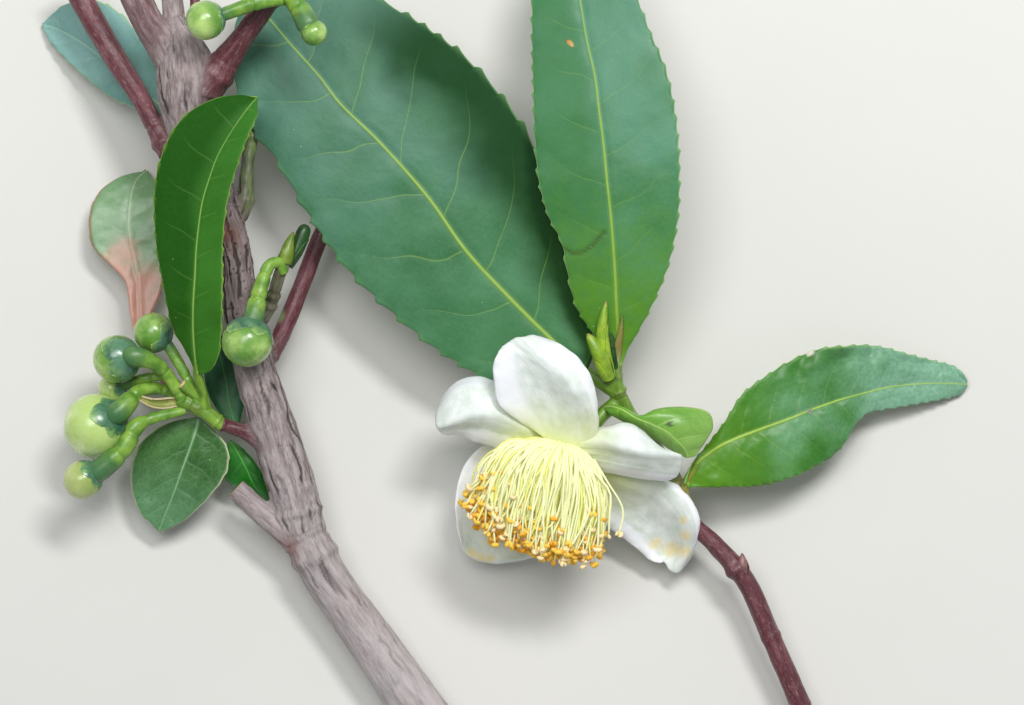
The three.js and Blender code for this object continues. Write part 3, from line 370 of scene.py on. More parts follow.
# Petals and the small folded leaf: nets of points, rows from foot to tip, right margin first
NETS = {
    "petal_top": [
        [[11.6, -11.2, 17.2], [11.2, -11.7, 18.0], [10.7, -12.1, 18.0], [9.0, -12.8, 17.0],
         [7.0, -12.8, 16.6], [5.1, -12.0, 16.8], [3.3, -10.6, 17.4]],
        [[11.8, -9.2, 19.0], [11.3, -9.1, 19.8], [10.8, -9.1, 19.9], [8.7, -10.0, 19.0],
         [6.3, -9.8, 18.4], [3.6, -8.8, 18.6], [0.5, -9.1, 19.2]],
        [[11.6, -6.4, 20.2], [10.7, -6.6, 21.2], [9.8, -6.9, 21.5], [7.8, -7.2, 20.6],
         [5.1, -6.6, 19.8], [1.8, -6.5, 19.8], [-1.7, -7.3, 20.2]],
        [[10.9, -3.8, 21.0], [9.9, -4.6, 22.1], [8.8, -5.4, 22.4], [6.8, -5.1, 21.8],
         [4.0, -4.2, 21.0], [0.7, -3.9, 20.8], [-2.5, -4.3, 21.0]],
        [[9.4, -1.2, 21.2], [8.4, -2.1, 22.4], [7.2, -3.2, 23.0], [5.4, -2.9, 22.6],
         [3.3, -2.1, 22.0], [0.3, -1.6, 21.6], [-2.5, -1.8, 21.5]],
        [[7.2, 0.7, 20.9], [6.2, -0.3, 22.3], [5.2, -1.3, 23.0], [3.8, -1.2, 22.8],
         [2.2, -0.6, 22.4], [0.0, 0.2, 22.0], [-1.8, 0.2, 21.6]],
        [[4.5, 1.9, 19.6], [2.6, 2.4, 21.0], [1.4, 2.1, 22.2], [0.7, 2.0, 22.0],
         [0.0, 1.7, 21.8], [-0.6, 1.3, 21.4], [-1.3, 0.7, 20.8]],
    ],
    "petal_left": [
        [[5.0, -9.3, 14.2], [4.7, -10.2, 15.0], [4.5, -11.1, 15.3], [4.3, -11.7, 15.3],
         [4.0, -12.6, 14.8], [3.7, -13.4, 14.2]],
        [[0.5, -5.7, 14.8], [1.1, -7.2, 16.8], [1.2, -8.6, 17.5], [1.5, -10.1, 17.8],
         [0.8, -11.9, 16.0], [0.0, -13.8, 14.4]],
        [[-2.5, -3.9, 15.2], [-2.1, -5.5, 17.6], [-1.9, -7.0, 18.4], [-1.8, -8.6, 18.8],
         [-2.5, -10.8, 16.4], [-3.2, -12.9, 14.2]],
        [[-4.5, -3.3, 15.0], [-4.4, -4.9, 17.8], [-4.4, -6.8, 18.8], [-4.5, -8.5, 19.1],
         [-5.1, -10.3, 16.7], [-5.5, -12.1, 14.4]],
        [[-6.5, -3.6, 14.6], [-6.6, -5.1, 17.4], [-6.7, -7.0, 18.5], [-6.7, -8.9, 18.9],
         [-7.0, -10.2, 16.8], [-7.4, -11.4, 14.8]],
        [[-8.5, -4.8, 14.2], [-8.6, -6.0, 16.6], [-8.5, -7.6, 17.8], [-8.5, -9.6, 18.3],
         [-8.6, -10.5, 16.8], [-8.8, -11.3, 15.6]],
        [[-9.8, -6.7, 14.0], [-10.2, -7.9, 15.6], [-10.4, -9.0, 16.6], [-10.3, -10.2, 17.5],
         [-10.0, -10.7, 16.8], [-9.5, -11.2, 16.0]],
    ],
    "petal_lower": [
        [[3.9, -12.1, 12.6], [4.7, -12.6, 12.0], [5.5, -13.0, 11.8], [6.3, -13.3, 11.8],
         [7.2, -13.4, 12.0], [8.3, -13.4, 12.6]],
        [[-1.0, -12.1, 12.0], [1.1, -14.2, 10.4], [3.2, -15.6, 9.4], [5.1, -16.3, 9.2],
         [7.1, -16.5, 9.6], [9.7, -16.2, 11.0]],
        [[-4.1, -12.9, 11.0], [-1.7, -16.0, 8.6], [1.1, -18.0, 7.4], [3.9, -19.2, 7.2],
         [6.7, -19.8, 7.8], [10.4, -19.3, 9.8]],
        [[-6.6, -15.7, 9.8], [-3.9, -18.8, 7.0], [-0.8, -20.9, 5.8],
         [2.2, -22.5, 5.6], [5.6, -23.3, 6.4], [9.7, -22.2, 8.8]],
        [[-7.7, -19.3, 8.8], [-5.7, -21.9, 6.0], [-2.8, -23.9, 4.9],
         [0.3, -25.4, 4.8], [3.9, -26.2, 5.6], [8.0, -24.9, 8.0]],
        [[-7.8, -23.1, 7.8], [-6.4, -24.8, 5.6], [-4.2, -26.4, 4.7], [-1.1, -27.5, 4.7],
         [2.2, -28.0, 5.5], [6.4, -27.0, 7.2]],
        [[-7.1, -26.4, 6.8], [-6.6, -27.9, 5.6], [-4.7, -29.0, 5.0], [-1.8, -29.4, 5.0],
         [1.4, -28.8, 5.6], [4.9, -27.9, 6.6]],
    ],
    "petal_right": [
        [[8.2, -15.1, 14.6], [8.2, -14.1, 15.4], [8.5, -13.2, 16.2], [8.9, -12.3, 17.0],
         [9.5, -11.4, 16.6], [10.2, -10.8, 15.8]],
        [[11.7, -16.3, 14.6], [12.1, -14.9, 16.2], [12.5, -13.6, 17.6], [12.7, -12.2, 19.2],
         [13.0, -11.0, 18.6], [13.3, -10.1, 17.0]],
        [[15.1, -16.8, 14.8], [15.4, -15.6, 16.6], [15.6, -14.3, 18.2], [15.7, -13.1, 19.8],
         [16.0, -11.4, 19.2], [16.2, -9.7, 16.8]],
        [[18.3, -17.4, 14.6], [18.5, -16.1, 16.4], [18.5, -14.8, 18.0], [18.4, -13.5, 19.4],
         [18.3, -12.2, 18.6], [18.2, -11.0, 16.4]],
        [[20.8, -17.7, 14.2], [21.1, -16.5, 15.6], [21.2, -15.1, 17.0], [21.2, -13.8, 18.2],
         [20.9, -13.4, 17.6], [20.4, -13.1, 16.8]],
        [[21.9, -17.5, 13.8], [22.7, -16.8, 14.6], [23.2, -15.4, 15.8], [23.2, -14.2, 17.0],
         [22.8, -14.0, 16.8], [22.2, -13.8, 16.4]],
    ],
    "petal_hanging": [
        [[9.1, -15.9, 11.4], [9.7, -15.7, 11.5], [10.2, -15.4, 11.7], [10.8, -15.1, 12.2],
         [11.4, -15.0, 12.2], [12.1, -15.0, 11.6]],
        [[10.8, -20.4, 9.0], [12.5, -19.6, 9.2], [13.8, -18.9, 9.8], [15.2, -18.0, 11.6],
         [15.9, -17.3, 11.8], [16.4, -16.6, 10.8]],
        [[12.2, -22.8, 7.6], [14.3, -21.7, 7.8], [16.5, -20.4, 8.6], [18.5, -19.1, 10.8],
         [19.3, -18.2, 11.0], [19.9, -17.4, 9.6]],
        [[13.7, -24.4, 6.4], [16.1, -23.5, 6.6], [18.4, -22.4, 7.4], [20.9, -20.2, 9.8],
         [22.0, -19.0, 10.6], [23.0, -18.4, 10.0]],
        [[15.7, -25.9, 5.6], [17.8, -25.2, 5.6], [20.1, -24.2, 6.2], [22.8, -21.9, 9.4],
         [24.0, -20.7, 10.0], [24.8, -20.3, 9.8]],
        [[17.8, -27.6, 4.9], [19.5, -26.9, 4.7], [21.6, -26.1, 5.2], [24.1, -24.1, 8.6],
         [25.2, -23.4, 9.3], [25.9, -23.0, 9.3]],
        [[19.5, -29.0, 4.5], [20.6, -28.5, 4.2], [22.4, -27.9, 4.5], [24.4, -26.8, 7.0],
         [25.3, -26.2, 7.4], [25.8, -25.8, 7.4]],
        [[20.5, -29.4, 4.4], [21.2, -29.2, 4.2], [22.0, -30.4, 4.1], [23.0, -30.7, 4.6],
         [23.9, -29.9, 4.4], [24.9, -28.5, 4.2]],
    ],
    "leaf_small": [
        [[12.3, -7.9, 12.8], [12.4, -7.8, 13.0], [12.5, -7.7, 13.1],
         [12.5, -7.6, 13.1], [12.6, -7.5, 13.0]],
        [[12.8, -7.9, 13.4], [12.9, -7.7, 13.6], [13.1, -7.4, 13.9],
         [13.1, -7.3, 13.9], [13.2, -7.1, 13.8]],
        [[13.7, -8.6, 14.6], [14.4, -8.2, 15.6], [15.0, -7.8, 16.2],
         [15.2, -7.7, 16.3], [15.5, -7.6, 16.3]],
        [[15.9, -9.8, 14.4], [16.6, -9.4, 15.8], [17.1, -9.0, 16.8],
         [17.5, -8.8, 16.9], [17.8, -8.7, 16.8]],
        [[18.3, -11.0, 14.4], [18.8, -10.4, 15.8], [19.2, -9.8, 17.0],
         [19.6, -8.6, 17.2], [19.7, -7.8, 16.4]],
        [[20.1, -12.2, 14.4], [20.7, -11.5, 15.8], [21.2, -10.8, 17.0],
         [22.9, -9.1, 17.0], [24.0, -7.5, 15.6]],
        [[21.4, -13.1, 14.4], [22.0, -12.5, 15.6], [22.5, -11.9, 16.6],
         [25.0, -10.2, 16.4], [27.1, -8.3, 14.8]],
        [[22.5, -13.7, 14.6], [23.1, -13.3, 15.4], [23.5, -12.9, 16.2],
         [25.5, -11.9, 16.0], [27.6, -10.2, 14.8]],
        [[23.2, -14.0, 14.8], [23.6, -13.9, 15.2], [24.0, -13.7, 15.6],
         [25.4, -13.1, 15.4], [26.7, -12.0, 15.0]],
        [[23.8, -14.3, 14.9], [24.0, -14.4, 15.0], [24.2, -14.4, 15.1],
         [24.7, -14.3, 15.1], [25.3, -14.0, 15.0]],
    ],
}

# Where each petal is fixed to the foot of the flower, and its stains: place and radius
PETALS = {
    "petal_top": ([8.6, -12.4, 16.2], []),
    "petal_left": ([7.4, -12.3, 15.2], []),
    "petal_lower": ([7.8, -12.8, 13.6], [(-5.6, -27.9, 0.9), (-4.3, -28.5, 0.8), (-3.0, -28.7, 0.8),
                                         (-2.9, -26.2, 1.2)]),
    "petal_right": ([9.3, -12.6, 15.6], []),
    "petal_hanging": ([9.7, -13.2, 13.4], [(20.0, -26.6, 1.1), (22.2, -27.4, 1.3), (24.0, -27.6, 1.1),
                                           (24.0, -25.4, 0.9), (23.7, -23.2, 0.7)]),
}

RECEPTACLE = {"centre": [8.9, -12.3, 14.6], "size": 1.9}

# Guide lines for the stamens, from the left of the fan to the right: the start, two points on the
# way and the end
STAMEN_GUIDES = [
    [[4.9, -12.0, 16.2], [-1.2, -13.0, 17.6], [-3.6, -16.4, 17.4], [-5.6, -19.8, 16.6]],
    [[5.6, -12.2, 16.6], [1.2, -12.9, 18.6], [-1.6, -18.6, 18.0], [-2.6, -24.1, 16.8]],
    [[6.6, -12.4, 16.8], [4.7, -14.0, 19.4], [2.6, -20.9, 18.8], [2.0, -27.0, 17.4]],
    [[7.8, -12.6, 16.8], [8.8, -14.7, 19.4], [8.8, -21.6, 18.6], [7.2, -28.4, 17.2]],
    [[8.6, -12.8, 16.4], [11.2, -15.8, 17.8], [13.2, -21.0, 17.4], [12.4, -27.1, 16.4]],
]
STAMEN_DEPTH = 2.6

# One stray thread that hangs to the right of the brush, and the colours of threads and anthers
STRAY_THREAD = [[11.2, -14.6, 17.6], [13.0, -17.6, 18.0], [15.2, -21.6, 17.4], [14.6, -25.0, 16.8]]
THREAD_TAPER = np.array([1.9, 1.5, 1.25, 1.05, 0.95, 0.85])
THREAD_TONES = {"pale": 0xF0F2BC, "yellow": 0xE8E88A}
ANTHER_TONES = {"gold": 0xFFD052, "amber": 0xF8B438, "cream": 0xFCE4B0}


def linear(color):
    """Linear colour from a hexadecimal one."""
    parts = [((color >> shift) & 255) / 255 for shift in (16, 8, 0)]
    return tuple(p / 12.92 if p <= 0.04045 else ((p + 0.055) / 1.055) ** 2.4 for p in parts)


def rgba(color):
    """Colour with full alpha, from a hexadecimal number or three linear parts. A socket stays one."""
    if isinstance(color, bpy.types.NodeSocket):
        return color
    parts = linear(color) if isinstance(color, int) else tuple(color)
    return (*parts[:3], 1.0)


def noise(points, seed=0):
    """Smooth noise from -1 to 1 at each point, the same on every run."""
    points = np.asarray(points, float)
    cell = np.floor(points).astype(np.int64)
    f = points - cell
    f = f * f * (3 - 2 * f)
    total = np.zeros(points.shape[:-1])
    for corner in product((0, 1), repeat=3):
        c = np.array(corner)
        x, y, z = np.moveaxis(cell + c, -1, 0)
        key = (x * 73856093) ^ (y * 19349663) ^ (z * 83492791) ^ (seed * 2654435761 + 97)
        key = ((key ^ (key >> 13)) * 1274126177) & 0x7FFFFFFF
        key = ((key ^ (key >> 15)) * 2246822519) & 0x7FFFFFFF
        share = np.prod(np.where(c == 1, f, 1 - f), axis=-1)
        total += share * ((key & 0xFFFF) / 32767.5 - 1)
    return total


def step(low, high, value):
    """Smooth rise from 0 at low to 1 at high."""
    x = np.clip((value - low) / (high - low), 0, 1)
    return x * x * (3 - 2 * x)


def run(values, u):
    """Smooth run through evenly spaced values, at u from 0 to 1."""
    p = np.array([2 * values[0] - values[1], *values, 2 * values[-1] - values[-2]], float)
    last = len(values) - 1
    x = np.clip(u, 0, 1) * last
    i = np.minimum(x.astype(int), last - 1)
    f = x - i
    a, b, c, d = p[i], p[i + 1], p[i + 2], p[i + 3]
    bend = (2 * a - 5 * b + 4 * c - d) * f**2 + (3 * b - a - 3 * c + d) * f**3
    return 0.5 * (2 * b + (c - a) * f + bend)


def unit(vectors):
    return vectors / np.maximum(np.linalg.norm(vectors, axis=-1, keepdims=True), 1e-12)


class Path:
    """A smooth line through a few points, read by the share of its length from 0 to 1."""

    def __init__(self, points):
        p = np.array(points, float)
        p = np.vstack([2 * p[0] - p[1], p, 2 * p[-1] - p[-2]])
        f = np.linspace(0, 1, SPAN_STEPS + 1)[:, None]
        made = []
        for i in range(len(points) - 1):
            a, b, c, d = p[i:i + 4]
            ab, bc, cd = (max(np.linalg.norm(m - n), 1e-6) ** 0.5 for m, n in ((b, a), (c, b), (d, c)))
            start = bc * ((b - a) / ab - (c - a) / (ab + bc) + (c - b) / bc)
            end = bc * ((c - b) / bc - (d - b) / (bc + cd) + (d - c) / cd)
            curve = b + start * f + (3 * (c - b) - 2 * start - end) * f**2
            curve = curve + (2 * (b - c) + start + end) * f**3
            made.append(curve[:-1])
        made.append(p[-2:-1])
        self.points = np.vstack(made)
        self.knots = np.linspace(0, 1, len(self.points))
        gaps = np.linalg.norm(np.diff(self.points, axis=0), axis=1)
        self.length = gaps.sum()
        self.share = np.concatenate([[0], np.cumsum(gaps)]) / self.length
        self.slopes = unit(np.gradient(self.points, axis=0))

    def read(self, table, t):
        return np.stack([np.interp(t, self.share, table[:, k]) for k in range(3)], axis=-1)

    def at(self, t):
        return self.read(self.points, t)

    def tangent(self, t):
        return unit(self.read(self.slopes, t))

    def knot(self, t):
        """Where t lies between the given points, evenly counted from 0 to 1."""
        return np.interp(t, self.share, self.knots)

    def at_knot(self, k):
        return np.stack([np.interp(k, self.knots, self.points[:, i]) for i in range(3)], axis=-1)

    def frames(self, t):
        """Centres, tangents and two cross directions that don't twist along the way."""
        tangent = self.tangent(t)
        first = np.eye(3)[np.argmin(np.abs(tangent[0]))]
        normal = np.zeros_like(tangent)
        last = first
        for i, along in enumerate(tangent):
            last = last - along * (last @ along)
            last = last / np.linalg.norm(last)
            normal[i] = last
        return self.at(t), tangent, normal, np.cross(tangent, normal)


class Skin:
    """A mesh in the making, in millimetres, with what its materials read from it."""

    def __init__(self, points, faces, corners=None, values=None, slots=None):
        self.points = np.asarray(points, float).reshape(-1, 3)
        self.faces = faces
        self.corners = corners or {}
        self.values = values or {}
        self.slots = np.zeros(len(faces), int) if slots is None else np.asarray(slots)


def joined(skins):
    """One skin out of several that carry the same values."""
    starts = np.cumsum([0] + [len(s.points) for s in skins[:-1]])
    faces = [tuple(i + start for i in face) for s, start in zip(skins, starts) for face in s.faces]
    corners = {k: np.vstack([s.corners[k] for s in skins]) for k in skins[0].corners}
    values = {k: np.concatenate([s.values[k] for s in skins]) for k in skins[0].values}
    slots = np.concatenate([s.slots for s in skins])
    return Skin(np.vstack([s.points for s in skins]), faces, corners, values, slots)


def mesh_of(name, skin, scale=1.0):
    mesh = bpy.data.meshes.new(name)
    mesh.from_pydata((skin.points * scale).tolist(), [], skin.faces)
    mesh.polygons.foreach_set("use_smooth", np.ones(len(skin.faces), bool))
    mesh.polygons.foreach_set("material_index", skin.slots.astype(np.int32))
    for key, pairs in skin.corners.items():
        mesh.uv_layers.new(name=key).data.foreach_set("uv", np.asarray(pairs, np.float32).ravel())
    for key, given in skin.values.items():
        vector = given.ndim == 2
        attribute = mesh.attributes.new(key, "FLOAT_VECTOR" if vector else "FLOAT", "POINT")
        attribute.data.foreach_set("vector" if vector else "value", given.astype(np.float32).ravel())
    mesh.update()
    return mesh


def add_piece(name, skin, materials, slot, *nodes):
    """Puts a finished piece into the frame: it rides on the branch and stands for its CAD nodes."""
    moved = Skin(skin.points + MEASURING_POINT, skin.faces, skin.corners, skin.values, skin.slots)
    piece = bpy.data.objects.new(name, mesh_of(name, moved, MM))
    bpy.context.scene.collection.objects.link(piece)
    for material in materials:
        piece.data.materials.append(material)
    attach(piece, "root")
    if nodes:
        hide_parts(*nodes)
    return piece


def grid_faces(rows, columns, wrapped=False):
    """Faces between the rows and columns of a grid of points."""
    r = np.arange(rows - 1)[:, None] * columns
    c = np.arange(columns if wrapped else columns - 1)[None, :]
    after = (c + 1) % columns
    quads = np.stack([r + c, r + after, r + columns + after, r + columns + c], axis=-1)
    return quads.reshape(-1, 4)


def tube(spine, radius, sides=16, spacing=0.5, extend=(0, 0), rounded=False, shape=None):
    """Closed skin round a line. radius is a list for the line's points, or a function of t."""
    path = Path(spine)
    count = max(int(path.length / spacing), 4)
    t = np.linspace(0, 1, count + 1)
    if rounded:
        t = (1 - np.cos(math.pi * t)) / 2
    centre, tangent, normal, side = path.frames(t)
    size = radius(t) if callable(radius) else run(radius, path.knot(t))
    centre[0] -= tangent[0] * extend[0]
    centre[-1] += tangent[-1] * extend[1]
    angle = np.linspace(0, 2 * math.pi, sides, endpoint=False)
    girth = np.repeat(size[:, None], sides, axis=1)
    if shape is not None:
        girth = girth * shape(t[:, None] + 0 * angle, angle + 0 * t[:, None])
    ring = np.cos(angle)[None, :, None] * normal[:, None] + np.sin(angle)[None, :, None] * side[:, None]
    points = centre[:, None] + girth[..., None] * ring
    faces = [tuple(f) for f in grid_faces(len(t), sides, wrapped=True).tolist()]
    top = (len(t) - 1) * sides
    faces += [tuple(range(sides - 1, -1, -1)), tuple(range(top, top + sides))]
    along = np.repeat(t, sides)
    return Skin(points, faces, values={"along": along})


def grid_normals(grid):
    return unit(np.cross(np.gradient(grid, axis=0), np.gradient(grid, axis=1)))


def sheet(grid, over, under, values=None, cell_maps=None):
    """Closed shell on a grid of points: over and under are how far each side lies off the grid.
    cell_maps gives UV pairs for the left and for the right half of the grid."""
    rows, columns = grid.shape[:2]
    normals = grid_normals(grid)
    layer = rows * columns
    top = grid + normals * np.broadcast_to(over, (rows, columns))[..., None]
    low = grid - normals * np.broadcast_to(under, (rows, columns))[..., None]
    points = np.vstack([top.reshape(-1, 3), low.reshape(-1, 3)])
    inner = grid_faces(rows, columns)
    column = inner[:, 0] % columns
    a, b = np.arange(rows - 1), np.arange(columns - 1)
    right, left = a * columns, a * columns + columns - 1
    foot, tip = b, (rows - 1) * columns + b

    def band(one, two, flip):
        quad = [one, one + layer, two + layer, two]
        return np.stack(quad[::-1] if flip else quad, axis=-1)

    blocks = [
        (inner[:, [0, 3, 2, 1]], column, 0),
        (inner + layer, column, 1),
        (band(right, right + columns, False), np.zeros(rows - 1, int), 0),
        (band(left, left + columns, True), np.full(rows - 1, columns - 2), 0),
        (band(foot, foot + 1, True), b, 0),
        (band(tip, tip + 1, False), b, 0),
    ]
    faces = np.vstack([block[0] for block in blocks])
    halves = np.concatenate([block[1] for block in blocks]) >= (columns - 1) // 2
    slots = np.concatenate([np.full(len(block[0]), block[2]) for block in blocks])
    made = {}
    for key, (left_map, right_map) in (cell_maps or {}).items():
        flat = faces % layer
        on_left, on_right = left_map.reshape(-1, 2)[flat], right_map.reshape(-1, 2)[flat]
        made[key] = np.where(halves[:, None, None], on_left, on_right).reshape(-1, 2)
    kept = {k: np.tile(np.asarray(v, float).reshape(-1), 2) for k, v in (values or {}).items()}
    return Skin(points, [tuple(f) for f in faces.tolist()], made, kept, slots)


def look_of(name):
    """Everything that says how a leaf looks: its own values before the common ones."""
    return COMMON_LOOK | LEAF_LOOKS[name]


class Blade:
    """The middle surface of a leaf: rows from foot to tip, columns from right to left."""

    CROWDING = 0.4
    SPREAD = 1.35
    NARROWEST = 0.08

    def __init__(self, name, settings, seed):
        look = LEAF_LOOKS[name]
        cell = settings.cell * MM_PER_METRE
        rows = np.array(LEAVES[name])
        middle = Path(rows[:, 2:5])
        self.length = middle.length
        a = np.linspace(0, 1, max(int(middle.length / min(cell, look["pitch"] / 7)), 16) + 1)
        self.t = (1 - self.CROWDING) * a + self.CROWDING * (1 - np.cos(math.pi * a)) / 2
        centre = middle.at(self.t)
        spread = []
        for margin in (rows[:, [0, 1, 4]], rows[:, [5, 6, 4]]):
            gap = Path(margin).at_knot(middle.knot(self.t)) - centre
            gap[:, 2] = 0
            spread.append(gap)
        widths = [np.maximum(np.linalg.norm(gap, axis=1), self.NARROWEST) for gap in spread]
        columns = max(int(max(w.max() for w in widths) / cell), 8)
        x = np.linspace(-1, 1, 2 * columns + 1)
        self.v = (np.sign(x) * np.abs(x) ** self.SPREAD)[None, :]
        self.side = self.v >= 0
        self.half = np.where(self.side, widths[0][:, None], widths[1][:, None])
        self.along = (self.t * self.length)[:, None] + 0 * self.v
        self.edge = np.abs(self.v) + 0 * self.half
        self.teeth = self.saw(look["pitch"], seed)
        reach = self.edge * self.half
        self.reach = reach + self.teeth * step(0.86, 1.0, self.edge) * look["tooth"] * settings.teeth
        self.signed = np.sign(self.v) * self.reach
        away = np.where(self.side[..., None], unit(spread[0])[:, None], unit(spread[1])[:, None])
        slope = np.where(self.side, *look["slope"])
        curl = np.where(self.side, *look["curl"])
        self.grid = centre[:, None] + away * self.reach[..., None]
        self.grid[..., 2] += slope * reach + curl * reach**2

    def saw(self, pitch, seed):
        """Teeth that point to the tip, from 0 between them to 1 at their points."""
        place = np.stack([self.along / 9, np.sign(self.v) * 3 + 0 * self.along,
                          np.full_like(self.along, seed)], axis=-1)
        x = (self.along / pitch + 0.45 * noise(place, seed) + 0.37 * self.side) % 1.0
        fade = step(0.03, 0.14, self.t) * (1 - step(0.94, 1.0, self.t))
        return x**2.4 * (1 - step(0.82, 1.0, x)) * 1.25 * fade[:, None]


class Net:
    """A smooth surface through a net of points, laid out like a blade."""

    def __init__(self, net, cell):
        net = np.array(net)
        lines = [Path(line) for line in np.moveaxis(net, 1, 0)]
        self.length = np.mean([line.length for line in lines])
        width = max(Path(row).length for row in net)
        self.t = np.linspace(0, 1, int(self.length / cell) + 1)
        self.v = np.linspace(-1, 1, 2 * int(width / cell / 2) + 1)[None, :]
        spans = np.stack([line.at_knot(self.t) for line in lines], axis=1)
        self.grid = np.stack([Path(span).at_knot((self.v[0] + 1) / 2) for span in spans])
        self.side = self.v >= 0
        gaps = np.linalg.norm(np.diff(self.grid, axis=1), axis=2)
        across = np.concatenate([np.zeros((len(self.t), 1)), np.cumsum(gaps, axis=1)], axis=1)
        middle = across[:, [across.shape[1] // 2]]
        self.signed = across - middle
        self.half = np.where(self.side, across[:, -1:] - middle, middle)
        self.reach = np.abs(self.signed)
        self.edge = np.abs(self.v) + 0 * self.half
        self.along = (self.t * self.length)[:, None] + 0 * self.edge
        self.teeth = np.zeros_like(self.edge)


def noise_places(surface, long, wide, seed):
    """Where to read a noise whose lumps are as long and as wide as given on a leaf or petal."""
    seeds = np.full_like(surface.along, seed)
    return np.stack([surface.along / long, surface.signed / wide, seeds], axis=-1)


def vein_phases(blade, spacing, seed):
    """How far each point lies along the run of side veins, counted in veins, on either side."""
    lean = 0.5 * blade.reach + 0.022 * blade.reach**2
    wander = 0.13 * noise(noise_places(blade, 6, 5, seed), seed) * step(0, 3, blade.reach)
    phase = (blade.along - lean) / spacing + wander
    return phase, phase + 0.43


def line_gap(points, line):
    """Distance in the plane from each point to a line of points."""
    line = np.array(line)
    gaps = []
    for a, b in zip(line[:-1], line[1:]):
        share = np.clip(np.sum((points - a) * (b - a), axis=-1) / np.sum((b - a) ** 2), 0, 1)
        gaps.append(np.linalg.norm(points - a - share[..., None] * (b - a), axis=-1))
    return np.min(gaps, axis=0)


def marks_on(blade, marks):
    """How strongly the scars mark each point of a leaf, and how deep they cut into it."""
    shares, cut = np.zeros_like(blade.along), np.zeros_like(blade.along)
    for line, width, depth in marks:
        mark = np.exp(-((line_gap(blade.grid[..., :2], line) / width) ** 2))
        shares, cut = np.maximum(shares, mark), cut + depth * mark
    return shares, cut


def flecks_on(blade, flecks):
    """How strongly the round flecks show at each point of a leaf, and their colour there."""
    shares, tone = np.zeros_like(blade.along), np.zeros((*blade.along.shape, 3))
    for x, y, radius, color in flecks:
        gaps = np.linalg.norm(blade.grid[..., :2] - np.array([x, y]), axis=-1)
        found = 1 - step(0.6, 1.25, gaps / radius)
        tone = np.where((found > shares)[..., None], np.array(linear(color)), tone)
        shares = np.maximum(shares, found)
    return shares, tone


def leaf_skin(name, settings, seed):
    """One leaf blade with its teeth, midrib, side veins and the swellings between them."""
    look = look_of(name)
    blade = Net(NETS[name], settings.cell * MM_PER_METRE) if name in NETS else Blade(name, settings, seed)
    ripple = np.sin(2 * math.pi * (blade.along / 11 + 0.3 * blade.side) + seed)
    uneven = noise(noise_places(blade, 5.5, 6, seed + 9), seed)
    blade.grid[..., 2] += look["wave"] * blade.edge**2 * (0.6 * ripple + 1.1 * uneven)
    if "pucker" in look:
        fine = noise(noise_places(blade, 1.7, 2.6, seed + 4), seed + 1)
        rise = look["pucker"] * fine * blade.side * step(0.45, 0.85, blade.edge)
        blade.grid[..., 2] += rise * step(0.3, 0.5, blade.t)[:, None]
    left, right = vein_phases(blade, look["vein"], seed)
    phase = np.where(blade.side, left, right)
    gap = np.abs(phase % 1.0 - 0.5) * look["vein"]
    inward = step(0.3, 1.6, blade.reach)
    outward = 1 - step(0.72, 0.98, blade.edge)
    swell = look["quilt"] * settings.quilt * inward * outward * step(0, 0.45 * look["vein"], gap)
    groove = 0.2 * look["vein_strength"] * np.exp(-((gap / 0.3) ** 2)) * inward * outward
    crumple = look["crumple"] * (noise(blade.grid / 1.8, 77) + 0.4 * noise(blade.grid / 0.6, 78))
    rib = np.exp(-((blade.reach / (0.8 * look["rib"])) ** 2))
    trough = np.exp(-((blade.reach / (2.4 * look["rib"])) ** 2))
    taper = 1 - 0.7 * blade.along / blade.length
    thin = 1 - 0.55 * step(0.9, 1.0, blade.edge)
    marks, cut = marks_on(blade, look["marks"])
    fleck, tone = flecks_on(blade, look["flecks"])
    half = settings.thickness * MM_PER_METRE / 2 * thin
    over = half + swell + crumple - groove - cut + taper * (0.12 * rib - 0.20 * trough)
    under = half - 0.8 * swell - crumple + 1.4 * groove + cut + taper * (0.5 * rib + 0.1 * trough)
    flat = np.stack([blade.along, blade.signed], axis=-1)
    signed_edge = np.sign(blade.v) * blade.edge
    maps = {
        "veins": (np.stack([left, signed_edge], axis=-1), np.stack([right, signed_edge], axis=-1)),
        "blade": (flat, flat),
    }
    values = {"tooth": blade.teeth * step(0.955, 1.0, blade.edge), "mark": marks, "fleck": fleck}
    skin = sheet(blade.grid, over, under, values=values, cell_maps=maps)
    skin.values["fleck_tone"] = np.tile(tone.reshape(-1, 3), (2, 1))
    return skin


def petal_skin(name, settings, seed):
    """One thin petal with faint ribs, a soft lip and an uneven margin."""
    net = np.array(NETS[name])
    foot = np.array(PETALS[name][0]) + 0.25 * (net[0] - net[0].mean(axis=0))
    petal = Net(np.concatenate([foot[None], net]), settings.cell * MM_PER_METRE)
    uneven = noise(noise_places(petal, 4, 3.5, seed), seed)
    petal.grid[..., 2] += 0.22 * uneven * step(0.05, 0.4, petal.t)[:, None]
    from_margin = np.minimum((1 - petal.edge) * petal.half, (1 - petal.t)[:, None] * petal.length)
    fine = noise_places(petal, 1.4, 1.4, seed + 3)
    lip = np.exp(-from_margin / 0.7)
    petal.grid[..., 2] += (0.25 * noise(fine, seed) - 0.25) * lip
    sideways = np.stack([noise(fine + 5, seed), noise(fine + 9, seed)], axis=-1)
    petal.grid[..., :2] += 0.10 * lip[..., None] * sideways
    fan = petal.signed / np.maximum(petal.half, 1) * 9
    rib = 0.035 * noise(np.stack([petal.along / 8, fan, np.full_like(fan, seed + 5)], axis=-1), seed)
    half = settings.petal_thickness * MM_PER_METRE / 2 * (1 - 0.6 * np.exp(-from_margin / 0.5))
    flat = np.stack([petal.along, petal.signed], axis=-1)
    share = np.stack([petal.t[:, None] + 0 * petal.edge, petal.v + 0 * petal.edge], axis=-1)
    maps = {"blade": (flat, flat), "share": (share, share)}
    return sheet(petal.grid, half + rib, half - rib, cell_maps=maps)


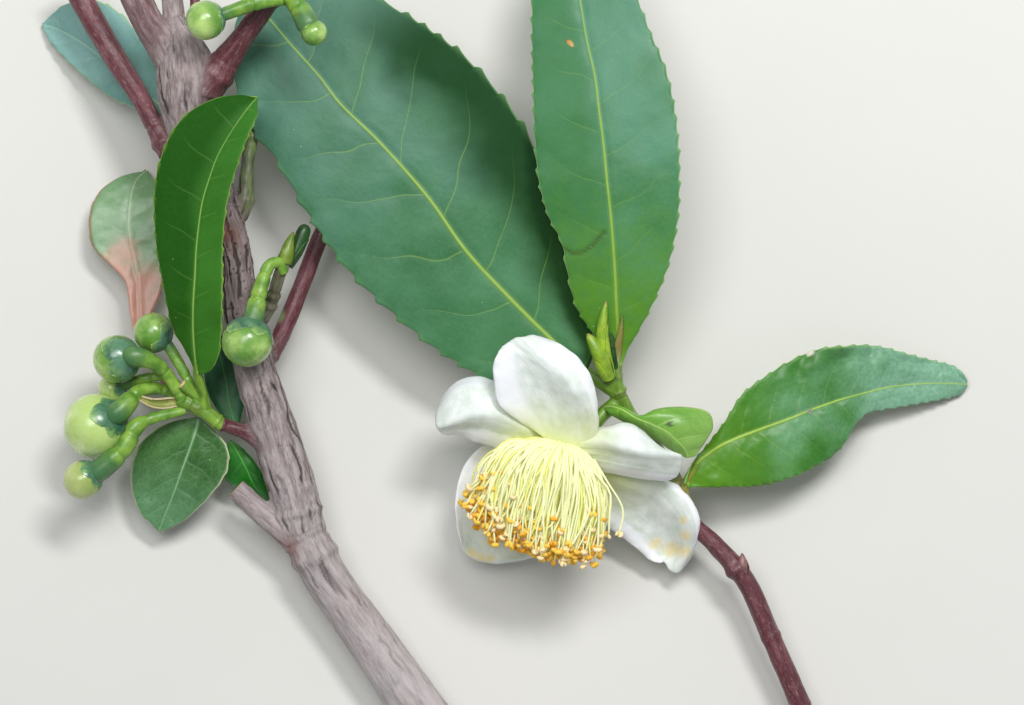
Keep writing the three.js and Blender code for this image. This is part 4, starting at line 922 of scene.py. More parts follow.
def fused(solids, voxel, rounds, cuts=()):
    """One even skin over closed solids that run into each other, cut flat at the given planes."""
    bare = [Skin(s.points, s.faces) for s in solids]
    piece = bpy.data.objects.new("fused", mesh_of("fused", joined(bare)))
    bpy.context.scene.collection.objects.link(piece)
    remesh = piece.modifiers.new("remesh", "REMESH")
    remesh.mode = "VOXEL"
    remesh.voxel_size = voxel
    even = piece.modifiers.new("even", "SMOOTH")
    even.factor = 0.5
    even.iterations = rounds
    found = piece.evaluated_get(bpy.context.evaluated_depsgraph_get())
    mesh = bpy.data.meshes.new_from_object(found)
    bpy.data.objects.remove(piece)
    for centre, direction, radius in cuts:
        trim(mesh, centre, direction, radius)
    return mesh


def trim(mesh, centre, direction, radius):
    """Cuts a limb off flat, closes it with a fan of faces and gives those the second slot."""
    shell = bmesh.new()
    shell.from_mesh(mesh)
    middle = np.array(centre)
    # Dictionaries keep the order of the mesh, so every run cuts alike
    near = dict.fromkeys(v for v in shell.verts if np.linalg.norm(np.array(v.co) - middle) < 3.2 * radius)
    faces = [f for f in shell.faces if all(v in near for v in f.verts)]
    edges = dict.fromkeys(e for f in faces for e in f.edges)
    bmesh.ops.bisect_plane(
        shell, geom=[*near, *edges, *faces], plane_co=centre, plane_no=direction, clear_outer=True
    )
    rim = [e for e in shell.edges if e.is_boundary]
    ends = bmesh.ops.holes_fill(shell, edges=rim, sides=0)["faces"]
    fan = bmesh.ops.poke(shell, faces=ends)["faces"]
    for face in fan:
        face.material_index = 1
    shell.to_mesh(mesh)
    shell.free()


def arrays_of(mesh):
    points = np.zeros(len(mesh.vertices) * 3)
    mesh.vertices.foreach_get("co", points)
    normals = np.zeros(len(mesh.vertices) * 3)
    mesh.vertex_normals.foreach_get("vector", normals)
    slots = np.zeros(len(mesh.polygons), np.int32)
    mesh.polygons.foreach_get("material_index", slots)
    faces = [tuple(p.vertices) for p in mesh.polygons]
    return points.reshape(-1, 3), normals.reshape(-1, 3), faces, slots


class Wood:
    """Tells for any point on the wood how far along a limb it lies, and which way round it."""

    SPACING = 0.5
    BLEND = 0.8
    CHUNK = 4000

    def __init__(self, names):
        self.names = names
        parts = []
        for k, name in enumerate(names):
            spine, radius = LIMBS[name]
            path = Path(spine)
            t = np.linspace(0, 1, max(int(path.length / self.SPACING), 4))
            centre, tangent, normal, side = path.frames(t)
            size = run(radius, path.knot(t))
            parts.append((centre, tangent, normal, side, size, t * path.length, t, np.full(len(t), k)))
        fields = [np.concatenate(f) for f in zip(*parts)]
        self.centre, self.tangent, self.normal, self.side = fields[:4]
        self.size, self.along, self.share, self.owner = fields[4:]
        self.starts = np.searchsorted(self.owner, np.arange(len(names)))
        self.girth = np.array([np.mean(LIMBS[n][1]) for n in names])

    def locate(self, points):
        """Index of the nearest place on a centre line, and each limb's share in the point."""
        nearest, shares = [], []
        for i in range(0, len(points), self.CHUNK):
            some = points[i:i + self.CHUNK].astype(np.float32)
            gap = np.linalg.norm(some[:, None] - self.centre[None].astype(np.float32), axis=2) - self.size
            nearest.append(np.argmin(gap, axis=1))
            limb = np.minimum.reduceat(gap, self.starts, axis=1)
            weight = np.exp(-(limb - limb.min(axis=1, keepdims=True)) / self.BLEND)
            shares.append(weight / weight.sum(axis=1, keepdims=True))
        return np.concatenate(nearest), np.vstack(shares)


# Usual distance between two furrows of old bark, in millimetres
FURROW_WIDTH = 1.8


def bark_values(wood, points):
    """Everything the bark's relief and colour need to know about each point."""
    j, shares = wood.locate(points)
    off = points - wood.centre[j]
    owner = wood.owner[j]
    along = wood.along[j] + np.sum(off * wood.tangent[j], axis=1)
    angle = np.arctan2(np.sum(off * wood.side[j], axis=1), np.sum(off * wood.normal[j], axis=1))
    girth = wood.girth[owner]
    space = np.stack([girth * np.cos(angle), girth * np.sin(angle), along + 40 * owner], axis=1)
    tones = np.array([SKIN_TONES[n] for n in wood.names])
    red, green = (shares @ tones).T
    rings = np.zeros(len(points))
    for k, name in enumerate(wood.names):
        length = Path(LIMBS[name][0]).length
        for place, height, width in RINGS.get(name, ()):
            swell = height * np.exp(-(((along - place * length) / width) ** 2))
            rings += np.where(owner == k, swell, 0)
    reddened, greened, darkened = (
        np.sum([np.exp(-np.sum((points[:, :2] - [x, y]) ** 2, axis=1) / r**2) for x, y, r in spots], axis=0)
        for spots in (REDDENED, GREENED, DARKENED)
    )
    patch = greened * (red > 0.7)
    furrows = np.maximum(np.round(2 * math.pi * girth / FURROW_WIDTH), 5)
    return {
        "space": space, "red": red * (1 - patch), "green": green + patch, "rings": rings, "angle": angle,
        "blush": np.clip(reddened, 0, 1), "darkened": np.clip(darkened, 0, 1), "furrows": furrows,
    }


def knots_on(points, normals):
    """Relief of the eye-shaped knots and of the small side buds on the stem's upper face."""
    relief = np.zeros(len(points))
    for x, y, size, height in KNOTS:
        gap = (points[:, :2] - np.array([x, y])) @ np.array([[1.0, 0.0], [0.35, 0.75]])
        away = np.linalg.norm(gap, axis=1) / size
        ring = np.exp(-(((away - 1) / 0.35) ** 2)) - 0.8 * np.exp(-((away / 0.55) ** 2))
        found = ring * height if height > 0 else -np.exp(-(away**2)) * height
        relief += np.where(normals[:, 2] > -0.2, found, 0)
    return relief


def barked(mesh, wood, settings):
    """Gives a fused skin the relief of its bark: cracks, rough ridges, rings and scars."""
    points, normals, faces, slots = arrays_of(mesh)
    found = bark_values(wood, points)
    space = found["space"]

    def lumps(wide, long, seed):
        return noise(space / np.array([wide, wide, long]), seed)

    wander = 3.4 * lumps(1.7, 4.2, 3) + 1.4 * lumps(0.7, 1.6, 4)
    furrow = step(0.45, 0.95, np.cos(found["furrows"] * found["angle"] + wander))
    fine = space / np.array([0.7, 0.7, 2.8])
    fine = fine + 0.3 * np.stack([noise(fine * 1.2 + 7 * k, 31 + k) for k in range(3)], axis=1)
    small = step(0.62, 0.95, 1 - np.abs(noise(fine, 5)) * 3.6)
    lump, flake, grain = lumps(2.0, 4.5, 7), lumps(0.7, 1.5, 8), lumps(0.35, 0.8, 9)
    old = np.clip(1 - found["red"] - found["green"], 0, 1)
    y = points[:, 1]
    height_up = step(-62, 0, y)
    # Darker aged bark on the upper stem, with the darkened spots laid in; the first of these is a painted
    # shadow of the broad leaf
    aged = step(1, 6, y) * (1 - step(23, 29, y)) * (old > 0.3)
    aged = np.maximum(aged * (0.7 + 0.3 * flake), found["darkened"])
    crack = furrow * step(-0.05, 0.3, lumps(1.2, 3.4, 6) + 0.45 * aged)
    rough = old * (0.25 + 0.6 * height_up + 0.6 * aged)
    depth = settings.crack_depth * MM_PER_METRE
    young = 1 - old
    relief = rough * (0.22 * lump + 0.12 * flake - depth * crack - 0.6 * depth * small + 0.07 * grain)
    relief += young * (0.07 * lump + 0.03 * flake + 0.015 * grain)
    relief += found["rings"] * (1 + 0.35 * lump) + knots_on(points, normals)
    cut_faces = np.zeros(len(points), int)
    for face, slot in zip(faces, slots):
        if slot == 1:
            cut_faces[list(face)] += 1
    relief = np.where(cut_faces > 0, 0, relief)
    values = {
        "bark_space": space,
        "crack": rough * (1 + 0.4 * aged) * np.maximum(crack, 0.55 * small),
        "red": found["red"],
        "green": found["green"],
        "scar": np.clip(np.abs(found["rings"]) * 3, 0, 1),
        "worn": 1 - height_up,
        "aged": np.clip(aged, 0, 1),
        "blush": found["blush"] * (0.6 + 0.4 * flake),
        "heart": np.where(cut_faces > 3, 1.0, 0.0),
    }
    return Skin(points + normals * relief[:, None], faces, values=values, slots=slots)


class Graph:
    """A node tree in the making, with short ways to add nodes."""

    def __init__(self, tree):
        self.tree = tree

    def feed(self, socket, value):
        if isinstance(value, bpy.types.NodeSocket):
            self.tree.links.new(value, socket)
        else:
            socket.default_value = value

    def add(self, kind, values=(), **settings):
        made = self.tree.nodes.new(kind)
        for key, value in settings.items():
            setattr(made, key, value)
        for key, value in dict(values).items():
            self.feed(made.inputs[key], value)
        return made

    def math(self, operation, *values):
        return self.add("ShaderNodeMath", enumerate(values), operation=operation).outputs[0]

    def plus(self, one, two):
        return self.math("ADD", one, two)

    def minus(self, one, two):
        return self.math("SUBTRACT", one, two)

    def times(self, one, two):
        return self.math("MULTIPLY", one, two)

    def size(self, value):
        return self.math("ABSOLUTE", value)

    def rise(self, value, low, high, start=0.0, end=1.0):
        """Smooth change from start at low to end at high."""
        limits = {"Value": value, "From Min": low, "From Max": high, "To Min": start, "To Max": end}
        return self.add("ShaderNodeMapRange", limits, interpolation_type="SMOOTHSTEP").outputs["Result"]

    def mix(self, share, one, two):
        return self.add("ShaderNodeMix", {0: share, 6: rgba(one), 7: rgba(two)}, data_type="RGBA").outputs[2]

    def layers(self, color, *layers):
        """Colour with each share of a tone laid over it in turn."""
        for share, tone in layers:
            color = self.mix(share, color, tone)
        return color

    def value(self, name, kind="Fac"):
        return self.add("ShaderNodeAttribute", attribute_name=name).outputs[kind]

    def place(self):
        return self.add("ShaderNodeTexCoord").outputs["Object"]

    def vector(self, operation, one, two):
        return self.add("ShaderNodeVectorMath", {0: one, 1: two}, operation=operation).outputs

    def noise(self, vector, scale, detail=2.0, roughness=0.5):
        settings = {"Vector": vector, "Scale": scale, "Detail": detail, "Roughness": roughness}
        return self.add("ShaderNodeTexNoise", settings).outputs["Fac"]

    def streaks(self, vector, scale, detail, roughness):
        """Noise that is drawn out along the axes where scale is small."""
        return self.noise(self.vector("MULTIPLY", vector, scale)["Vector"], 1.0, detail, roughness)

    def cell_edge(self, vector, scale):
        values = {"Vector": vector, "Scale": scale}
        return self.add("ShaderNodeTexVoronoi", values, feature="DISTANCE_TO_EDGE").outputs["Distance"]

    def map_parts(self, name):
        """A UV map and its two numbers."""
        found = self.add("ShaderNodeUVMap", uv_map=name).outputs["UV"]
        parts = self.add("ShaderNodeSeparateXYZ", {"Vector": found}).outputs
        return found, parts["X"], parts["Y"]

    def group(self, tree, values):
        return self.add("ShaderNodeGroup", values, node_tree=tree).outputs

    def mottled(self, blotch_scale, speck_scale, speck_share=0.3):
        values = {"Blotch Scale": blotch_scale, "Speck Scale": speck_scale, "Speck Share": speck_share}
        return self.group(mottle_group(), values)


def new_group(name, inputs, outputs):
    """Empty node group: its graph, the sockets that come in and those that go out. Inputs given as
    a whole number are colours, the others are values."""
    tree = bpy.data.node_groups.new(name, "ShaderNodeTree")
    for label, given in inputs.items():
        kind = "NodeSocketColor" if isinstance(given, int) else "NodeSocketFloat"
        socket = tree.interface.new_socket(label, in_out="INPUT", socket_type=kind)
        socket.default_value = rgba(given) if isinstance(given, int) else given
    for label in outputs:
        kind = "NodeSocketColor" if label == "Color" else "NodeSocketFloat"
        tree.interface.new_socket(label, in_out="OUTPUT", socket_type=kind)
    graph = Graph(tree)
    return graph, graph.add("NodeGroupInput").outputs, graph.add("NodeGroupOutput").inputs


def leaf_group():
    """Blade of a leaf: midrib, side veins, net of fine veins, pale margin and mottled green, with a
    painted sheen and painted shade.
    """
    if "leaf_blade" in bpy.data.node_groups:
        return bpy.data.node_groups["leaf_blade"]
    graph, given, out = new_group(
        "leaf_blade",
        {
            "Dark": 0x2C5A44, "Light": 0x3E7658, "Vein": 0x9AB860, "Margin": 0x8FB070, "Sheen": 0x7FA0A0,
            "Vein Spacing": 8.0, "Length": 60.0, "Rib": 0.35, "Vein Strength": 0.3, "Net Strength": 0.06,
            "Margin Width": 0.02, "Foot": 0.1, "Shade": 0x123E14, "Shade Left": 0.0, "Shade Right": 0.0,
            "Shade From": 0.0, "Shade To": 1.0, "Shade Gap": 0.0,
        },
        ("Color", "Roughness", "Height"),
    )
    _, phase, edge = graph.map_parts("veins")
    flat, along, across = graph.map_parts("blade")
    off, rim = graph.size(across), graph.size(edge)
    share = graph.math("DIVIDE", along, given["Length"])
    patches = graph.noise(flat, 0.09, 2.0, 0.5)
    clouds = graph.noise(flat, 0.4, 3.0, 0.6)
    grain = graph.noise(flat, 1.8, 5.0, 0.72)

    # Side veins, midrib and net: each is 1 on its line and 0 beside it
    from_vein = graph.size(graph.minus(graph.math("FRACT", phase), 0.5))
    gap = graph.times(from_vein, given["Vein Spacing"])
    side = graph.rise(graph.math("DIVIDE", gap, graph.rise(rim, 0.0, 0.9, 0.19, 0.09)), 0.3, 1.0, 1.0, 0.0)
    side = graph.times(side, graph.rise(rim, 0.45, 0.92, 1.0, 0.0))
    rib = graph.math("DIVIDE", off, graph.times(given["Rib"], graph.rise(share, 0.0, 1.0, 1.0, 0.32)))
    mid = graph.rise(rib, 0.5, 1.0, 1.0, 0.0)
    halo = graph.rise(rib, 1.0, 3.0, 0.15, 0.0)
    warp = graph.add("ShaderNodeTexNoise", {"Vector": flat, "Scale": 0.8, "Detail": 2.0}).outputs["Color"]
    bent = graph.vector("ADD", flat, graph.vector("MULTIPLY", warp, (1.3, 1.3, 0.0))["Vector"])["Vector"]
    net = graph.rise(graph.cell_edge(bent, 0.8), 0.01, 0.09, 1.0, 0.0)
    fine = graph.rise(graph.cell_edge(bent, 2.4), 0.01, 0.14, 1.0, 0.0)
    mesh = graph.math("MAXIMUM", net, graph.times(fine, 0.6))

    # Mottled green with a painted sheen towards the tip
    panel = graph.rise(from_vein, 0.02, 0.5, -0.12, 0.12)
    tone = graph.plus(graph.rise(patches, 0.25, 0.75, 0.1, 0.9), graph.rise(clouds, 0.25, 0.75, -0.1, 0.1))
    tone = graph.plus(tone, graph.plus(panel, graph.rise(grain, 0.25, 0.75, -0.2, 0.2)))
    tone = graph.math("MAXIMUM", graph.math("MINIMUM", tone, 1.0), 0.0)
    shift = graph.plus(share, graph.rise(patches, 0.2, 0.8, -0.2, 0.2))
    painted_sheen = graph.times(graph.rise(shift, 0.3, 0.85, 0.0, 0.6), graph.rise(grain, 0.3, 0.7, 0.6, 1.0))

    # The side that lies in its own shade, with a ragged boundary
    ragged = graph.plus(graph.rise(clouds, 0.25, 0.75, -0.02, 0.02), graph.rise(patches, 0.3, 0.7, -0.1, 0.1))
    in_shade = graph.rise(graph.minus(graph.plus(rim, ragged), given["Shade Gap"]), -0.16, 0.32)
    start = graph.rise(graph.minus(share, given["Shade From"]), -0.12, 0.12)
    end = graph.rise(graph.minus(given["Shade To"], share), -0.12, 0.12)
    on_right = graph.times(graph.rise(edge, -0.02, 0.02, 1.0, 0.0), given["Shade Right"])
    on_left = graph.times(graph.rise(edge, -0.02, 0.02), given["Shade Left"])
    in_shade = graph.times(graph.times(in_shade, graph.times(start, end)), graph.plus(on_left, on_right))

    foot = graph.rise(graph.plus(share, graph.rise(clouds, 0.25, 0.75, -0.05, 0.05)), 0.0, 0.46, 1.0, 0.0)
    pale = graph.rise(graph.minus(1.0, rim), 0.0, given["Margin Width"], 0.8, 0.0)
    # Tiny whitish specks scattered at random over the blade
    dots = graph.add("ShaderNodeTexVoronoi", {"Vector": flat, "Scale": 0.34}).outputs
    gate = graph.add("ShaderNodeSeparateColor", {"Color": dots["Color"]}).outputs["Red"]
    pale_specks = graph.rise(dots["Distance"], 0.018, 0.045, 1.0, 0.0)
    color = graph.layers(
        graph.mix(tone, given["Dark"], given["Light"]),
        (painted_sheen, given["Sheen"]),
        (in_shade, given["Shade"]),
        (graph.times(foot, given["Foot"]), 0x588C18),
        (graph.times(mesh, given["Net Strength"]), given["Vein"]),
        (graph.math("MAXIMUM", graph.times(side, given["Vein Strength"]), halo), given["Vein"]),
        (graph.times(mid, 0.92), given["Vein"]),
        (graph.math("MAXIMUM", pale, graph.times(graph.value("tooth"), 0.85)), given["Margin"]),
        (graph.times(pale_specks, graph.rise(gate, 0.55, 0.6, 0.0, 0.7)), 0xC9D8C4),
        (graph.times(graph.value("mark"), 0.85), 0x3E5420),
        (graph.value("fleck"), graph.value("fleck_tone", "Color")),
    )
    rough = graph.plus(graph.rise(grain, 0.2, 0.8, 0.30, 0.44), graph.times(mid, 0.12))
    height = graph.minus(graph.times(grain, 0.7), graph.times(mesh, given["Net Strength"]))
    graph.feed(out["Color"], color)
    graph.feed(out["Roughness"], graph.plus(rough, graph.times(in_shade, 0.4)))
    graph.feed(out["Height"], graph.minus(height, graph.times(side, given["Vein Strength"])))
    return graph.tree


def mottle_group():
    """Blotches and specks that any finish can use: both run from 0 to 1 over the surface."""
    if "mottle" in bpy.data.node_groups:
        return bpy.data.node_groups["mottle"]
    graph, given, out = new_group(
        "mottle", {"Blotch Scale": 150.0, "Speck Scale": 1500.0, "Speck Share": 0.3},
        ("Blotches", "Specks", "Height"),
    )
    place = graph.place()
    low = graph.minus(0.75, graph.times(given["Speck Share"], 0.3))
    specks = graph.noise(place, given["Speck Scale"], 1.0, 0.5)
    graph.feed(out["Blotches"], graph.rise(graph.noise(place, given["Blotch Scale"], 4.0, 0.6), 0.32, 0.68))
    graph.feed(out["Specks"], graph.rise(specks, low, graph.plus(low, 0.08)))
    graph.feed(out["Height"], graph.noise(place, graph.times(given["Speck Scale"], 0.6), 3.0, 0.6))
    return graph.tree


def new_material(name, **constants):
    """Material with one Principled shader. constants are its sockets that stay the same all over."""
    material = bpy.data.materials.new(name)
    material.use_nodes = True
    graph = Graph(material.node_tree)
    graph.tree.nodes.clear()
    shader = graph.add("ShaderNodeBsdfPrincipled")
    graph.add("ShaderNodeOutputMaterial", {"Surface": shader.outputs["BSDF"]})
    for key, value in constants.items():
        graph.feed(shader.inputs[key.replace("_", " ")], value)
    return material, graph, shader.inputs


def finish(graph, shader, color, rough, height, depth, strength=0.6):
    """Feeds a shader its colour, its roughness and its bump."""
    bump = graph.add("ShaderNodeBump", {"Height": height, "Distance": depth, "Strength": strength})
    graph.feed(shader["Base Color"], color)
    graph.feed(shader["Roughness"], rough)
    graph.feed(shader["Normal"], bump.outputs["Normal"])


def leaf_material(name, under=False):
    """Upper or under side of one leaf, from its own greens."""
    look = look_of(name)
    material, graph, shader = new_material(
        f"{name}_under" if under else f"{name}_upper", Specular_IOR_Level=0.3 if under else look["gloss"],
        Coat_Weight=0.0 if under else look["coat"], Coat_Roughness=0.22,
    )
    dark, light, sheen = (np.array(linear(look[key])) for key in ("dark", "light", "sheen"))
    if under:
        dark, light = dark * 0.35 + PALE_UNDERSIDE * 0.5, light * 0.35 + PALE_UNDERSIDE * 0.65
        sheen = light
    middle = np.array(NETS[name])[:, 2] if name in NETS else np.array(LEAVES[name])[:, 2:5]
    length = Path(middle).length
    shade, left, right, start, end, gap = look["shade"]
    found = graph.group(leaf_group(), {
        "Dark": rgba(dark), "Light": rgba(light), "Vein": rgba(look["vein_tone"]), "Sheen": rgba(sheen),
        "Margin": rgba(look["edge"]), "Vein Spacing": look["vein"], "Length": length, "Rib": look["rib"],
        "Vein Strength": look["vein_strength"], "Net Strength": look["net"], "Foot": look["foot"],
        "Margin Width": look["margin"], "Shade": rgba(shade), "Shade Left": left, "Shade Right": right,
        "Shade From": start, "Shade To": end, "Shade Gap": gap,
    })
    color = found["Color"]
    if "blush" in look:
        share = graph.math("DIVIDE", graph.map_parts("blade")[1], length)
        ragged = graph.plus(share, graph.rise(graph.noise(graph.place(), 180.0, 3.0), 0.2, 0.8, -0.12, 0.12))
        blush = graph.rise(ragged, look["blush"] - 0.2, look["blush"] + 0.02, 0.85, 0.0)
        color = graph.mix(blush, color, 0xCC8A7C)
    finish(graph, shader, color, 0.6 if under else found["Roughness"], found["Height"], 0.00012, 0.5)
    return material


def bark_material(colors):
    """Old cracked bark, red young bark and green skin in one, as the point's values say."""
    material, graph, shader = new_material("bark", Specular_IOR_Level=0.35, Coat_Roughness=0.3)
    space = graph.value("bark_space", "Vector")
    streak = graph.streaks(space, (1.5, 1.5, 0.30), 4.0, 0.62)
    fibre = graph.streaks(space, (5.5, 5.5, 0.9), 4.0, 0.65)
    band = graph.streaks(space, (0.55, 0.55, 0.12), 2.0, 0.5)
    found = graph.mottled(150.0, 2600.0)
    aged, blush = graph.value("aged"), graph.value("blush")
    is_red, is_green = graph.value("red"), graph.value("green")
    old = graph.layers(
        graph.mix(graph.rise(streak, 0.3, 0.7), colors.bark_dark, colors.bark_pale),
        (graph.times(found["Blotches"], 0.35), 0x9C8884),
        (graph.rise(fibre, 0.50, 0.72, 0.0, 0.45), 0xCEC5C5),
        (graph.rise(fibre, 0.30, 0.44, 0.45, 0.0), 0x564A48),
        (graph.times(graph.value("worn"), graph.rise(band, 0.3, 0.6, 0.35, 0.75)), 0xCFC8C9),
        # Darker aged bark, and painted shadow in the first darkened spot
        (graph.times(aged, 0.6), 0x5C4E49),
        (graph.rise(graph.value("crack"), 0.1, 0.8, 0.0, 0.85), 0x2A2222),
        (graph.times(blush, 0.7), 0x8E4A3C),
    )
    red = graph.layers(
        graph.mix(graph.rise(band, 0.35, 0.62), 0x54262E, colors.red_bark),
        # Pale streaks and fibres: the twigs' waxy grey film, partly painted highlight
        (graph.rise(streak, 0.44, 0.70, 0.0, 0.6), 0x885C60),
        (graph.rise(fibre, 0.54, 0.74, 0.0, 0.4), 0xC6ACAA),
        (graph.times(found["Specks"], 0.22), 0xC8A890),
    )
    green = graph.layers(
        graph.mix(graph.rise(streak, 0.3, 0.7), 0x567A26, colors.green_skin),
        (graph.rise(fibre, 0.56, 0.76, 0.0, 0.3), 0xA4B466),
        (graph.times(graph.value("scar"), 0.6), 0x6E5434),
        (graph.times(blush, 0.9), 0xA8802E),
        # Darker in aged bark and in the darkened spots; on the green shoot this is a painted shadow
        (graph.times(aged, 0.8), 0x33421C),
    )
    ragged = graph.rise(fibre, 0.3, 0.7, -0.16, 0.16)
    color = graph.layers(
        old, (graph.rise(graph.plus(is_red, ragged), 0.2, 0.8), red),
        (graph.rise(graph.plus(is_green, ragged), 0.2, 0.8), green),
    )
    fresh = graph.math("MINIMUM", graph.plus(is_red, is_green), 1.0)
    graph.feed(shader["Coat Weight"], graph.times(fresh, 0.35))
    rough = graph.minus(graph.rise(is_green, 0.3, 0.8, 0.8, 0.40), graph.rise(is_red, 0.3, 0.8, 0.0, 0.34))
    grain = graph.plus(graph.times(fibre, 0.9), graph.times(found["Height"], 0.3))
    finish(graph, shader, color, rough, grain, 0.0002)
    return material


def cut_wood_material():
    """Pale end grain with its pith, growth rings and a dark ring of bark."""
    material, graph, shader = new_material("cut_wood", Specular_IOR_Level=0.2)
    heart = graph.value("heart")
    found = graph.mottled(600.0, 3000.0, 0.4)
    rings = graph.math("SINE", graph.times(heart, 34.0))
    wood = graph.layers(
        graph.mix(graph.rise(rings, -0.6, 0.9), 0xCDB58C, 0xE2D2AE),
        (graph.times(found["Blotches"], 0.35), 0xA88C66),
        (graph.rise(heart, 0.86, 0.93), 0x6B4E34),
        (graph.rise(heart, 0.06, 0.14, 1.0, 0.0), 0x7D6A50),
    )
    finish(graph, shader, wood, 0.75, found["Height"], 0.0001)
    return material


def petal_material(name, settings, stains):
    """White petal, yellow-green at the foot, with faint ribs, grey flecks and its stains, and a painted
    highlight along its side margins.
    """
    material, graph, shader = new_material(
        name, Specular_IOR_Level=0.3, Subsurface_Weight=0.12, Subsurface_Radius=(0.8, 0.9, 0.6),
        Subsurface_Scale=0.0008,
    )
    flat = graph.map_parts("blade")[0]
    _, share, edge = graph.map_parts("share")
    ribs = graph.streaks(flat, (0.12, 2.6, 0.0), 3.0, 0.6)
    patches = graph.noise(flat, 0.35, 4.0, 0.6)
    fleck = graph.noise(flat, 1.5, 3.0, 0.7)
    foot = graph.rise(graph.plus(share, graph.times(patches, 0.16)), 0.12, 0.62, 1.0, 0.0)
    color = graph.layers(
        graph.mix(graph.rise(patches, 0.3, 0.7), settings.petal_shade, settings.petal_white),
        (graph.rise(ribs, 0.45, 0.8, 0.0, 0.25), 0xCDD6CE),
        # Painted highlight along the side margins, where the rims catch the light
        (graph.rise(graph.size(edge), 0.56, 0.72, 0.0, 0.85), 0xF8FAFF),
        (graph.rise(fleck, 0.64, 0.74, 0.0, 0.35), 0xA9B2A8),
        (graph.times(foot, 0.8), settings.petal_foot),
    )
    for x, y, radius in stains:
        plan = graph.vector("MULTIPLY", graph.place(), (1, 1, 0))["Vector"]
        gap = graph.vector("DISTANCE", plan, (MEASURING_POINT + np.array([x, y, 0])) * MM)["Value"]
        ragged = graph.plus(gap, graph.times(graph.noise(flat, 1.1, 3.0), radius * 1.4 * MM))
        mark = graph.rise(ragged, radius * 0.6 * MM, radius * 2.1 * MM, 0.6, 0.0)
        color = graph.mix(mark, color, settings.stain)
    grain = graph.plus(ribs, graph.times(fleck, 0.4))
    finish(graph, shader, color, graph.rise(fleck, 0.2, 0.8, 0.45, 0.6), grain, 0.0001, 0.5)
    return material


def fleshy_material(name, tones, mottle, layers, rough, depth, strength=0.6, **constants):
    """Skin mottled between two tones. layers gives the shares of other tones to lay over them."""
    material, graph, shader = new_material(name, **constants)
    found = graph.mottled(*mottle)
    color = graph.layers(graph.mix(found["Blotches"], *tones), *layers(graph, found))
    height = found["Height"]
    finish(graph, shader, color, graph.rise(height, 0.3, 0.7, *rough), height, depth, strength)
    return material


def bud_material(name, dark, light, tip):
    """Smooth bud skin, deep green near the stalk and paler towards a ring round its tip, with painted
    shade underneath.
    """

    def layers(graph, found):
        along = graph.value("along")
        return (
            (graph.rise(along, 0.2, 0.6, 0.85, 0.0), dark),
            (graph.rise(along, 0.9, 0.985, 0.0, 0.7), tip),
            # Painted shade: the underside of the bud darkened by the low mask
            (graph.times(graph.value("low"), 0.75), np.array(linear(dark)) * BUD_SHADOW),
            (graph.times(found["Specks"], 0.18), 0x6B6A2A),
        )

    return fleshy_material(
        name, (dark, light), (210.0, 1800.0, 0.25), layers, (0.2, 0.34), 0.00005, 0.5,
        Specular_IOR_Level=0.5, Coat_Weight=0.45, Coat_Roughness=0.26, Subsurface_Weight=0.12,
        Subsurface_Radius=(0.6, 0.9, 0.2), Subsurface_Scale=0.0015,
    )


def sepal_material():
    """Glossy sepals: dark bluish green at the stalk, fading into the bud at their margins, with painted
    shade underneath.
    """

    def layers(graph, found):
        along = graph.value("along")
        shift = graph.plus(along, graph.rise(found["Height"], 0.2, 0.8, -0.2, 0.2))
        return (
            (graph.rise(shift, 0.6, 1.1, 0.0, 0.9), 0x8EB85C),
            (graph.rise(along, 0.92, 1.0, 0.0, 0.7), 0xC0D890),
            (graph.times(found["Specks"], 0.25), 0x5A4A2A),
            # Painted shade on the lower side of the sepals
            (graph.times(graph.value("low"), 0.7), 0x1E4426),
        )

    return fleshy_material(
        "sepal", (0x34624A, 0x5E8C6C), (260.0, 1600.0, 0.3), layers, (0.2, 0.36), 0.00006, 0.5,
        Specular_IOR_Level=0.5, Coat_Weight=0.45, Coat_Roughness=0.24,
    )


def green_material(name, dark, light, rust, tip=None, tip_from=0.9):
    """Fleshy green of stalks and bud scales, with rusty marks and, where wanted, a dry tip."""

    def layers(graph, found):
        yield graph.times(found["Specks"], 0.45), rust
        if tip is not None:
            yield graph.rise(graph.value("along"), tip_from, min(tip_from + 0.2, 1.0), 0.0, 0.75), tip

    return fleshy_material(
        name, (dark, light), (420.0, 1600.0, 0.35), layers, (0.35, 0.5), 0.00008,
        Specular_IOR_Level=0.5, Coat_Weight=0.15, Coat_Roughness=0.25,
    )


def husk_material():
    """Dry tan-green bract with a pale pink lip and a dark tip."""

    def layers(graph, found):
        return (
            (graph.rise(graph.value("lip"), 0.7, 1.0, 0.0, 0.7), 0xD8C0A4),
            (graph.rise(graph.value("along"), 0.8, 0.97, 0.0, 0.85), 0x3A2A1C),
            (graph.times(found["Specks"], 0.4), 0x6B4A2A),
        )

    return fleshy_material(
        "bract_husk", (0x7E8A3E, 0xA8A660), (500.0, 1600.0, 0.35), layers, (0.4, 0.6), 0.00008,
        Specular_IOR_Level=0.4,
    )


def plain_material(name, color, rough, glow=0.0):
    """Even finish for very small pieces that are dealt out in sprays, lit from within by glow: painted
    light in their own colour.
    """
    return new_material(
        name, Base_Color=rgba(color), Roughness=rough, Specular_IOR_Level=0.3, Emission_Color=rgba(color),
        Emission_Strength=glow,
    )[0]


def length_setting(name, description, default, least=0.0001):
    return FloatProperty(
        name=name, description=description, default=default, min=least, unit="LENGTH", precision=5
    )


def factor_setting(name, description):
    return FloatProperty(name=name, description=description, default=1.0, min=0, subtype="FACTOR")


def color_setting(name, description, color):
    return FloatVectorProperty(name=name, description=description, subtype="COLOR", default=linear(color))


